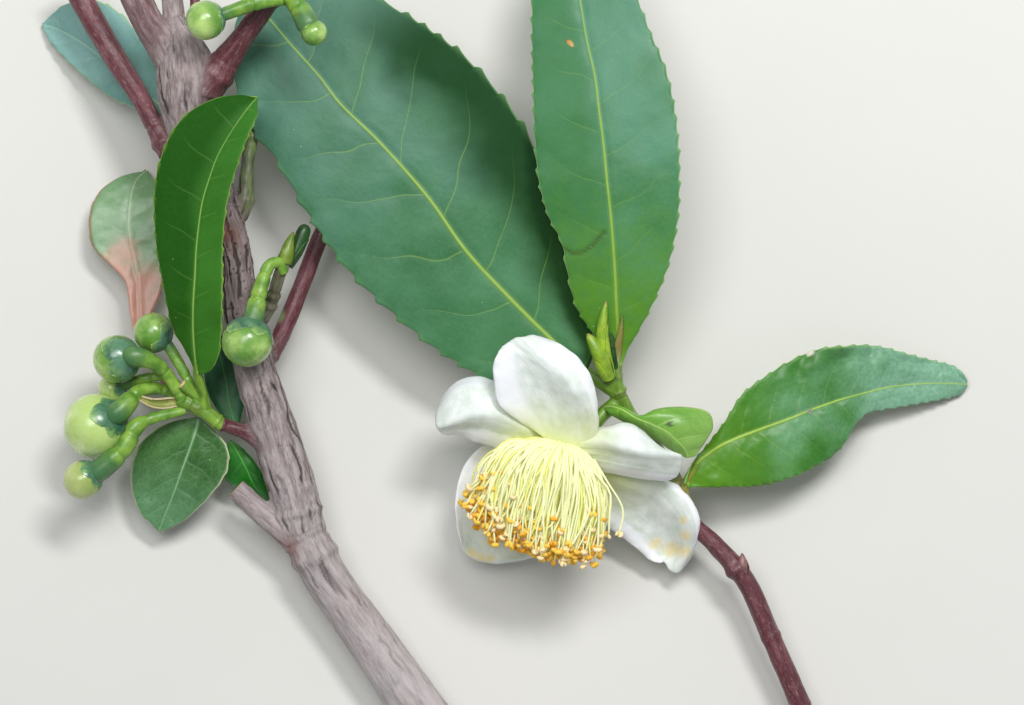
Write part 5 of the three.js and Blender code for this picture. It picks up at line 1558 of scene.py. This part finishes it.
class BarkSettings(PropertyGroup):
    voxel: length_setting("Skin spacing", "Distance between the points of the fused bark", 0.00027)
    crack_depth: length_setting("Crack depth", "How deep the cracks of the old bark are", 0.00026, 0)
    bark_pale: color_setting("Pale bark", "Colour of the worn ridges", 0xB2A6A6)
    bark_dark: color_setting("Dark bark", "Colour of the older bark", 0x6A5E5D)
    red_bark: color_setting("Red bark", "Colour of the young twigs", 0x602A33)
    green_skin: color_setting("Green skin", "Colour of this year's shoots", 0x84B03A)


class LeafSettings(PropertyGroup):
    thickness: length_setting("Thickness", "Thickness of a leaf blade", 0.00034)
    cell: length_setting("Cell", "Size of the cells that a blade is made of", 0.00033)
    teeth: factor_setting("Teeth", "How much of their full depth the teeth have")
    quilt: factor_setting("Swelling", "How much the blade swells between its veins")


class FlowerSettings(PropertyGroup):
    petal_thickness: length_setting("Petal thickness", "Thickness of a petal", 0.00036)
    cell: length_setting("Cell", "Size of the cells that a petal is made of", 0.0002)
    filaments: IntProperty(name="Stamens", description="Number of stamens in the brush", default=440, min=1)
    filament_radius: length_setting("Filament radius", "Radius of one stamen's thread", 0.00015, 0.00005)
    petal_white: color_setting("Petal white", "Main colour of the petals", 0xF0F5F2)
    petal_shade: color_setting("Petal shade", "Cooler colour of the petals' patches", 0xD4DED5)
    petal_foot: color_setting("Petal foot", "Colour at the foot of the petals", 0xD4DC86)
    stain: color_setting("Stain", "Colour of the pollen stains", 0xF4D468)


class StageSettings(PropertyGroup):
    floor_color: color_setting("Floor", "Colour of the floor", 0xDCDBD6)
    floor_size: length_setting("Floor size", "Radius of the floor", 3.0)
    sky_strength: FloatProperty(
        name="Sky", description="Strength of the light from all round", default=0.3, min=0
    )


WOODY = ["stem_lower", "stem_upper", "pruned_stub", "twig_left", "twig_dark", "twig_brown", "twig_pink",
         "twig_right", "purple_twig", "bud_twig_base", "green_shoot", "side_shoot"]
WOODY_CUTS = {"stem_lower": 0, "pruned_stub": -1, "twig_left": -1, "twig_dark": -1, "twig_brown": -1,
              "twig_pink": -1, "green_shoot": -1, "purple_twig": -1}
SHOOT = ["shoot_base", "shoot_lower", "shoot_upper", "pedicel", "petiole_broad", "petiole_wavy"]
BUD_TWIG = ["bud_twig_tip", "cut_green_stub", "petiole_front"]

# How far a limb runs on past a cut, and into its neighbours, in millimetres
CUT_EXTRA = 1.2
LAP = 0.5


def wood_skin(names, cut_ends, settings, coarseness=1.0, rounds=4):
    """Fuses limbs into one skin, cuts its ends flat and gives it its bark. cut_ends says of a limb
    with a flat end whether that is its first point, 0, or its last one, -1."""
    solids, cuts = [], []
    for name in names:
        spine, radius = LIMBS[name]
        extend = [LAP, LAP]
        if name in cut_ends:
            end = cut_ends[name]
            path = Path(spine)
            t = np.array([0.0 if end == 0 else 1.0])
            outward = path.tangent(t)[0] * (-1 if end == 0 else 1)
            cuts.append((path.at(t)[0].tolist(), outward.tolist(), radius[end]))
            extend[end] = CUT_EXTRA
        solids.append(tube(spine, radius, sides=20, spacing=0.6, extend=extend))
    mesh = fused(solids, settings.voxel * (MM_PER_METRE * coarseness), rounds, cuts)
    return barked(mesh, Wood(names), settings)


class TEA_OT_woody_stem(Operator):
    """Main stem with its fork, stub and twigs, in one skin of bark"""

    bl_idname = "tea_branch.woody_stem"
    bl_label = "Woody stem"

    def execute(self, context):
        settings = context.scene.tea_bark
        skin = wood_skin(WOODY, WOODY_CUTS, settings)
        add_piece("woody_stem", skin, [bark_material(settings), cut_wood_material()], "bark", *WOODY)
        return {"FINISHED"}


class TEA_OT_flower_shoot(Operator):
    """The red shoot that carries the flower, with the stalks of its leaves"""

    bl_idname = "tea_branch.flower_shoot"
    bl_label = "Flower shoot"

    def execute(self, context):
        settings = context.scene.tea_bark
        skin = wood_skin(SHOOT, {}, settings, 0.7)
        add_piece("flower_shoot", skin, [bark_material(settings)], "red_twig", *SHOOT)
        return {"FINISHED"}


class TEA_OT_bud_twig(Operator):
    """The green end of the twig that carries the cluster of buds, with its bract"""

    bl_idname = "tea_branch.bud_twig"
    bl_label = "Bud twig"

    def execute(self, context):
        settings = context.scene.tea_bark
        skin = wood_skin(BUD_TWIG, {"cut_green_stub": -1}, settings, 0.5, 3)
        add_piece("bud_twig", skin, [bark_material(settings), cut_wood_material()], "green_stem", *BUD_TWIG)
        blade = Net(self.boat(LIMBS["bract"][0]), 0.12)
        along = blade.t[:, None] + 0 * blade.edge
        skin = sheet(blade.grid, 0.13, 0.13, values={"along": along, "lip": blade.edge})
        husk = husk_material()
        add_piece("bract", skin, [husk, husk], "green_stem", "bract")
        return {"FINISHED"}

    def boat(self, spine):
        """Net of a boat-shaped bract, with its margins raised over its keel."""
        path = Path(spine)
        t = np.linspace(0, 1, 8)
        width = run([0.45, 0.62, 0.7, 0.66, 0.55, 0.4, 0.24, 0.06], t)[:, None]
        side = unit(np.cross(path.tangent(t), [0, 0, 1.0]))
        keel = path.at(t) - width * [0, 0, 0.5]
        rise = width * np.array([0, 0, 0.9])
        lines = [side * width + rise, side * width * 0.75 + rise * 0.4, 0 * side,
                 -side * width * 0.75 + rise * 0.4, -side * width + rise]
        return np.stack([keel + line for line in lines], axis=1)


def scale_on(spine, radius, turn, end):
    """One pointed bud scale that clasps a bud from one side, up to a share of its length."""
    rows, columns = 22, 15
    path = Path(spine)
    t = np.linspace(0, end, rows)
    a = np.linspace(0, 1, rows)
    centre, _, normal, side = path.frames(t)
    width = math.radians(75) * np.sqrt(np.clip(1 - a**2.2, 0.002, 1))
    angle = turn + width[:, None] * np.linspace(1, -1, columns)[None, :]
    swell = 1.05 + 0.12 * np.sin(math.pi * np.clip(a * 1.2, 0, 1))
    reach = run(radius, path.knot(t)) * swell + 0.05
    ring = np.cos(angle)[..., None] * normal[:, None] + np.sin(angle)[..., None] * side[:, None]
    shell = sheet(centre[:, None] + reach[:, None, None] * ring, 0.05, 0.05)
    return Skin(shell.points, shell.faces, values={"along": np.tile(np.repeat(a, columns), 2)})


def scale_bud(name, turn=0.0):
    """Pointed leaf bud with two scales that clasp it."""
    spine, radius = LIMBS[name]

    def size(t):
        return run(radius, t) * np.sqrt(np.clip(1 - t**9, 0.003, 1))

    def folds(t, angle):
        return 1 + 0.07 * np.abs(np.cos(1.5 * angle + 2.5 * t + turn)) ** 0.6

    body = tube(spine, size, sides=24, spacing=0.15, rounded=True, shape=folds)
    scales = [scale_on(spine, radius, turn, 0.72), scale_on(spine, radius, turn + 2.6, 0.5)]
    return joined([body, *scales])


class TEA_OT_tip_buds(Operator):
    """Pointed leaf buds at the tips of the shoots"""

    bl_idname = "tea_branch.tip_buds"
    bl_label = "Tip buds"

    def execute(self, context):
        young = green_material("bud_scales", 0x749A22, 0xA4C438, 0x8A7A3A, tip=0x8A7040)
        deep = green_material("dark_scales", 0x123A10, 0x2C5A1C, 0x2A3014, tip=0x22381C)
        tan = green_material("tan_scales", 0x56701E, 0x829A34, 0x6A4E22, tip=0x7A6034)
        brown = green_material("brown_scales", 0x6A4244, 0x946A6A, 0x4A2E2A, tip=0x4A3430)
        for name, skin, turn in (
            ("tip_bud_tall", young, 0.0), ("tip_bud_stout", young, 1.0), ("tip_bud_dark", deep, 2.0),
            ("side_shoot_tip", tan, 0.5), ("folded_bud", deep, 1.5), ("side_bud", brown, 0.8),
        ):
            piece = add_piece(name, scale_bud(name, turn), [skin], "green_stem")
            if name != "side_bud":
                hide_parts(name)
        return {"FINISHED"}


# Colours of the buds: near the stalk, over the ball and round its tip
BUD_TONES = {
    "fresh": (0x5A9030, 0xBCDA80, 0x90B85A),
    "pale": (0xB4D074, 0xE2F0BC, 0xA4BE6A),
    "ripe": (0x98AE5C, 0xBCC884, 0xD09868),
}


def cross_directions(axis):
    helper = np.eye(3)[np.argmin(np.abs(axis))]
    one = unit(np.cross(axis, helper))
    return one, np.cross(axis, one)


def bud_ball(bud, axis):
    """The bud's round body, a little flattened, from its stalk to its tip."""
    centre, size = np.array(bud["ball"]), bud["size"]

    def girth(t):
        return size * np.maximum(np.sqrt(np.maximum(1 - (2 * t - 1) ** 2, 0)), 0.01)

    def dents(t, angle):
        around = np.stack([2 * np.cos(angle), 2 * np.sin(angle), 4 * t], axis=-1)
        return 1 + 0.02 * noise(around, int(size * 10))

    spine = [centre - axis * size, centre, centre + axis * size * 0.97]
    return tube(spine, girth, sides=48, spacing=size / 16, rounded=True, shape=dents)


def sepal(bud, axis, turn, reach, layer):
    """One rounded sepal that hugs the ball from the stalk outwards."""
    rows, columns = 30, 21
    across, around = cross_directions(axis)
    a = np.linspace(0.08, 1, rows)[:, None]
    v = np.linspace(1, -1, columns)[None, :]
    polar = math.radians(reach) * (a - 0.12 * v**2 * a**2)
    width = math.radians(54) * np.sqrt(np.clip(1 - (a * 0.98) ** 3, 0.004, 1))
    azimuth = turn + v * width
    thin = (1 - np.abs(v) ** 4) * (1 - a**6)
    r = bud["size"] + 0.03 + 0.02 * layer + 0.04 * thin
    outward = np.cos(azimuth)[..., None] * across + np.sin(azimuth)[..., None] * around
    direction = -np.cos(polar)[..., None] * axis + np.sin(polar)[..., None] * outward
    shell = sheet(np.array(bud["ball"]) + r[..., None] * direction, 0.01 + 0.03 * thin, 0.06)
    along = np.tile((a + 0 * v).ravel(), 2)
    return Skin(shell.points, shell.faces, values={"along": along})


def stalk(bud):
    """The bud's stalk, pinched at its joints and widening into the sepals."""

    def pinched(t, angle):
        girth = np.ones_like(t)
        for place in bud["joints"]:
            girth -= 0.12 * np.exp(-(((t - place) / 0.018) ** 2))
            girth += 0.05 * np.exp(-(((t - place - 0.06) / 0.035) ** 2))
            girth += 0.03 * np.exp(-(((t - place + 0.06) / 0.035) ** 2))
        return girth * (1 + 0.03 * np.cos(3 * angle + 5 * t))

    end = bud["spine"][-1]
    inside = np.array(end) + 0.6 * (np.array(bud["ball"]) - end)
    radius = [*bud["radius"], 0.8 * bud["radius"][-1]]
    return tube([*bud["spine"], inside], radius, sides=24, spacing=0.12, shape=pinched)


class TEA_OT_buds(Operator):
    """Round buds with their sepals and jointed stalks"""

    bl_idname = "tea_branch.buds"
    bl_label = "Buds"

    def execute(self, context):
        skins = {key: bud_material(f"bud_{key}", *tones) for key, tones in BUD_TONES.items()}
        stem = green_material("bud_stalk", 0x4E8226, 0x8CB446, 0x7A5A32, tip=0x38684A, tip_from=0.64)
        calyx = sepal_material()
        for name, bud in BUDS.items():
            axis = unit(np.array(bud["ball"]) - np.array(bud["spine"][-1]))
            parts = [bud_ball(bud, axis), stalk(bud)]
            for k in range(5):
                turn = math.radians(bud["turn"] + 72 * k)
                reach = bud["reach"] * (1, 0.82, 0.95, 0.75, 0.88)[k]
                parts.append(sepal(bud, axis, turn, reach, k % 3))
            for part, index in zip(parts, (0, 1, 2, 2, 2, 2, 2)):
                part.slots = np.full(len(part.faces), index)
                # low marks the underside of each bud, where painted shade darkens the ball and sepals
                part.values["low"] = step(0.3, -0.8, (part.points[:, 2] - bud["ball"][2]) / bud["size"])
            add_piece(name, joined(parts), [skins[bud["tone"]], stem, calyx], "bud", name)
        return {"FINISHED"}


class TEA_OT_leaves(Operator):
    """Leathery toothed leaves, each with its own greens"""

    bl_idname = "tea_branch.leaves"
    bl_label = "Leaves"

    SLOTS = {"leaf_pale": "pale_leaf", "leaf_faded": "pale_leaf", "leaf_small": "young_leaf"}

    def execute(self, context):
        for seed, name in enumerate(LEAF_LOOKS, start=1):
            skin = leaf_skin(name, context.scene.tea_leaves, seed)
            finishes = [leaf_material(name), leaf_material(name, under=True)]
            add_piece(name, skin, finishes, self.SLOTS.get(name, "leaf"), name)
        return {"FINISHED"}


class TEA_OT_petals(Operator):
    """The five white petals of the open flower"""

    bl_idname = "tea_branch.petals"
    bl_label = "Petals"

    def execute(self, context):
        settings = context.scene.tea_flower
        for seed, (name, (_, stains)) in enumerate(PETALS.items(), start=40):
            white = petal_material(name, settings, stains)
            add_piece(name, petal_skin(name, settings, seed), [white, white], "petal", name)
        return {"FINISHED"}


class TEA_OT_calyx(Operator):
    """The round foot of the flower with its green sepals"""

    bl_idname = "tea_branch.calyx"
    bl_label = "Flower foot"

    def execute(self, context):
        foot = {"ball": RECEPTACLE["centre"], "size": RECEPTACLE["size"]}
        axis = unit(np.array(STAMEN_GUIDES[2][1]) - np.array(LIMBS["pedicel"][0][-1]))
        parts = [bud_ball(foot, axis)]
        parts += [sepal(foot, axis, math.radians(72 * k + 15), 105, k % 3) for k in range(5)]
        fresh = green_material("flower_foot", 0x8FB23C, 0xC4D468, 0x8A6A3A)
        add_piece("receptacle", joined(parts), [fresh], "green_stem", "receptacle")
        return {"FINISHED"}


def guide_at(share):
    """Guide line at a share of the fan, between the given ones."""
    lines = np.array(STAMEN_GUIDES)
    return np.stack([[run(lines[:, i, k], np.array([share]))[0] for k in range(3)] for i in range(4)])


def anther(tip, direction, turn, size):
    """One anther bent into a small open ring at the end of its thread."""
    across, around = cross_directions(direction)
    lie = np.cos(turn) * across + np.sin(turn) * around
    face = np.cos(turn * 3) * direction + np.sin(turn * 3) * np.cross(direction, lie)
    bend = np.linspace(-2.3, 2.3, 6)[:, None]
    spine = tip + 0.55 * size * (np.cos(bend) * face + np.sin(bend) * lie)

    def girth(t):
        return 0.42 * size * np.maximum(1 - (2 * t - 1) ** 4, 0.15) ** 0.5

    return tube(spine, girth, sides=6, spacing=size / 2.2)


class TEA_OT_stamens(Operator):
    """The brush of stamens: pale threads with golden anthers"""

    bl_idname = "tea_branch.stamens"
    bl_label = "Stamens"

    def execute(self, context):
        settings = context.scene.tea_flower
        radius = settings.filament_radius * MM_PER_METRE
        dice = np.random.default_rng(7)
        threads = {"pale": [], "yellow": []}
        anthers = {"gold": [], "amber": [], "cream": []}
        for i in range(settings.filaments):
            share = ((i + dice.uniform(0.1, 0.9)) / settings.filaments) ** 1.2
            deep = dice.uniform(-1, 1)
            line = self.way(share, deep, dice)
            girth = radius * dice.uniform(0.85, 1.2) * THREAD_TAPER
            thread = tube(line, girth, sides=5, spacing=1.1)
            threads["yellow" if deep < -0.4 or dice.random() < 0.12 else "pale"].append(thread)
            direction = unit(line[-1] - line[-2])
            kind = "cream" if deep > 0.3 and dice.random() < 0.35 else ("amber", "gold")[dice.random() < 0.7]
            anthers[kind].append(anther(line[-1], direction, dice.uniform(0, 6.3), dice.uniform(0.58, 0.84)))
        threads["pale"].append(tube(STRAY_THREAD, [radius] * 4, sides=6, spacing=0.8))
        anthers["cream"].append(anther(np.array(STRAY_THREAD[-1]), unit(np.array([-0.5, -1, 0])), 0.8, 0.8))
        for key, parts in threads.items():
            # The threads glow faintly in their own colour: painted light that lifts the shade between them
            glowing = plain_material(f"thread_{key}", THREAD_TONES[key], 0.5, 0.09)
            piece = add_piece(f"filaments_{key}", joined(parts), [glowing], "stamens")
            if key == "pale":
                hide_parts("stamens")
        for key, parts in anthers.items():
            golden = plain_material(f"anther_{key}", ANTHER_TONES[key], 0.7)
            add_piece(f"anthers_{key}", joined(parts), [golden], "stamens")
        return {"FINISHED"}

    def way(self, share, deep, dice):
        """Points of one thread that strays from its guide line. deep is its height in the brush."""
        spread = np.array([0.3, 0.7, 1.2, 1.9])[:, None] * dice.normal(0, 0.5, (4, 3))
        line = guide_at(share) + spread * np.array([1, 0.7, 0.4])
        line[:, 2] += STAMEN_DEPTH * deep * np.array([0.1, 0.5, 0.9, 1.0])
        short = dice.beta(1.2, 3.4) * (0.42 + 0.2 * deep) if dice.random() < 0.8 else 0.0
        line = Path(line).at(np.linspace(0, 1 - short, 6))
        return line + np.array([0, 0.3, 0.8, 1, 1, 0.6])[:, None] * dice.normal(0, 0.2, (6, 3))


def add_light(name, place, size, power):
    """Round lamp that looks at the middle of the branch."""
    data = bpy.data.lights.new(name, "AREA")
    data.shape = "DISK"
    data.size = size
    data.energy = power
    lamp = bpy.data.objects.new(name, data)
    bpy.context.scene.collection.objects.link(lamp)
    lamp.location = place
    x, y, z = place
    lamp.rotation_euler = (math.atan2(math.hypot(x, y), z), 0, math.atan2(-x, y))


class TEA_OT_stage(Operator):
    """Pale floor, soft lights and the camera over the branch"""

    bl_idname = "tea_branch.stage"
    bl_label = "Stage"

    def execute(self, context):
        settings = context.scene.tea_stage
        self.floor(settings)
        add_light("key_light", (0.28, 0.56, 0.96), size=0.4, power=17.0)
        add_light("overhead_light", (-0.25, 0.45, 1.25), size=0.8, power=11.0)
        world = bpy.data.worlds.new("studio")
        world.use_nodes = True
        sky = world.node_tree.nodes["Background"].inputs
        sky["Color"].default_value = SKY_COLOR
        sky["Strength"].default_value = settings.sky_strength
        context.scene.world = world
        context.scene.view_settings.view_transform = "Standard"
        data = bpy.data.cameras.new("camera")
        data.sensor_width = SENSOR
        data.lens = SENSOR * SURFACE["view_distance"] / SURFACE["width"]
        camera = bpy.data.objects.new("camera", data)
        camera.location = (MEASURING_POINT + np.array([0, 0, SURFACE["view_distance"]])) * MM
        context.scene.collection.objects.link(camera)
        context.scene.camera = camera
        return {"FINISHED"}

    def floor(self, settings):
        """One wide flat sheet just under the branch, with a faint grain."""
        count = 96
        angle = np.linspace(0, 2 * math.pi, count, endpoint=False)
        size = settings.floor_size * MM_PER_METRE
        points = np.stack([size * np.cos(angle), size * np.sin(angle), np.full(count, -FLOOR_GAP)], axis=1)
        material, graph, shader = new_material("floor", Roughness=0.8, Specular_IOR_Level=0.2)
        blotches = graph.mottled(8.0, 900.0)["Blotches"]
        tint = tuple(c * 0.96 for c in settings.floor_color)
        graph.feed(shader["Base Color"], graph.mix(blotches, tint, settings.floor_color))
        floor = bpy.data.objects.new("floor", mesh_of("floor", Skin(points, [tuple(range(count))]), MM))
        floor.data.materials.append(material)
        bpy.context.scene.collection.objects.link(floor)


OPERATORS = (
    TEA_OT_woody_stem, TEA_OT_flower_shoot, TEA_OT_bud_twig, TEA_OT_tip_buds, TEA_OT_buds, TEA_OT_leaves,
    TEA_OT_petals, TEA_OT_calyx, TEA_OT_stamens, TEA_OT_stage,
)
SETTINGS = {
    "tea_bark": BarkSettings, "tea_leaves": LeafSettings, "tea_flower": FlowerSettings,
    "tea_stage": StageSettings,
}


class TEA_PT_branch(Panel):
    """Sidebar panel with the steps that build the branch"""

    bl_idname = "TEA_PT_branch"
    bl_label = "Tea branch"
    bl_space_type = "VIEW_3D"
    bl_region_type = "UI"
    bl_category = "Tea Branch"

    def draw(self, context):
        for operator in OPERATORS:
            self.layout.operator(operator.bl_idname)
        for key, group in SETTINGS.items():
            box = self.layout.box()
            for name in group.__annotations__:
                box.prop(getattr(context.scene, key), name)


def register():
    for item in (*SETTINGS.values(), *OPERATORS, TEA_PT_branch):
        bpy.utils.register_class(item)
    for key, group in SETTINGS.items():
        setattr(bpy.types.Scene, key, PointerProperty(type=group))


def unregister():
    for key in SETTINGS:
        delattr(bpy.types.Scene, key)
    for item in reversed((*SETTINGS.values(), *OPERATORS, TEA_PT_branch)):
        bpy.utils.unregister_class(item)


def main():
    register()
    for operator in OPERATORS:
        category, name = operator.bl_idname.split(".")
        getattr(getattr(bpy.ops, category), name)()


if __name__ == "__main__":
    main()
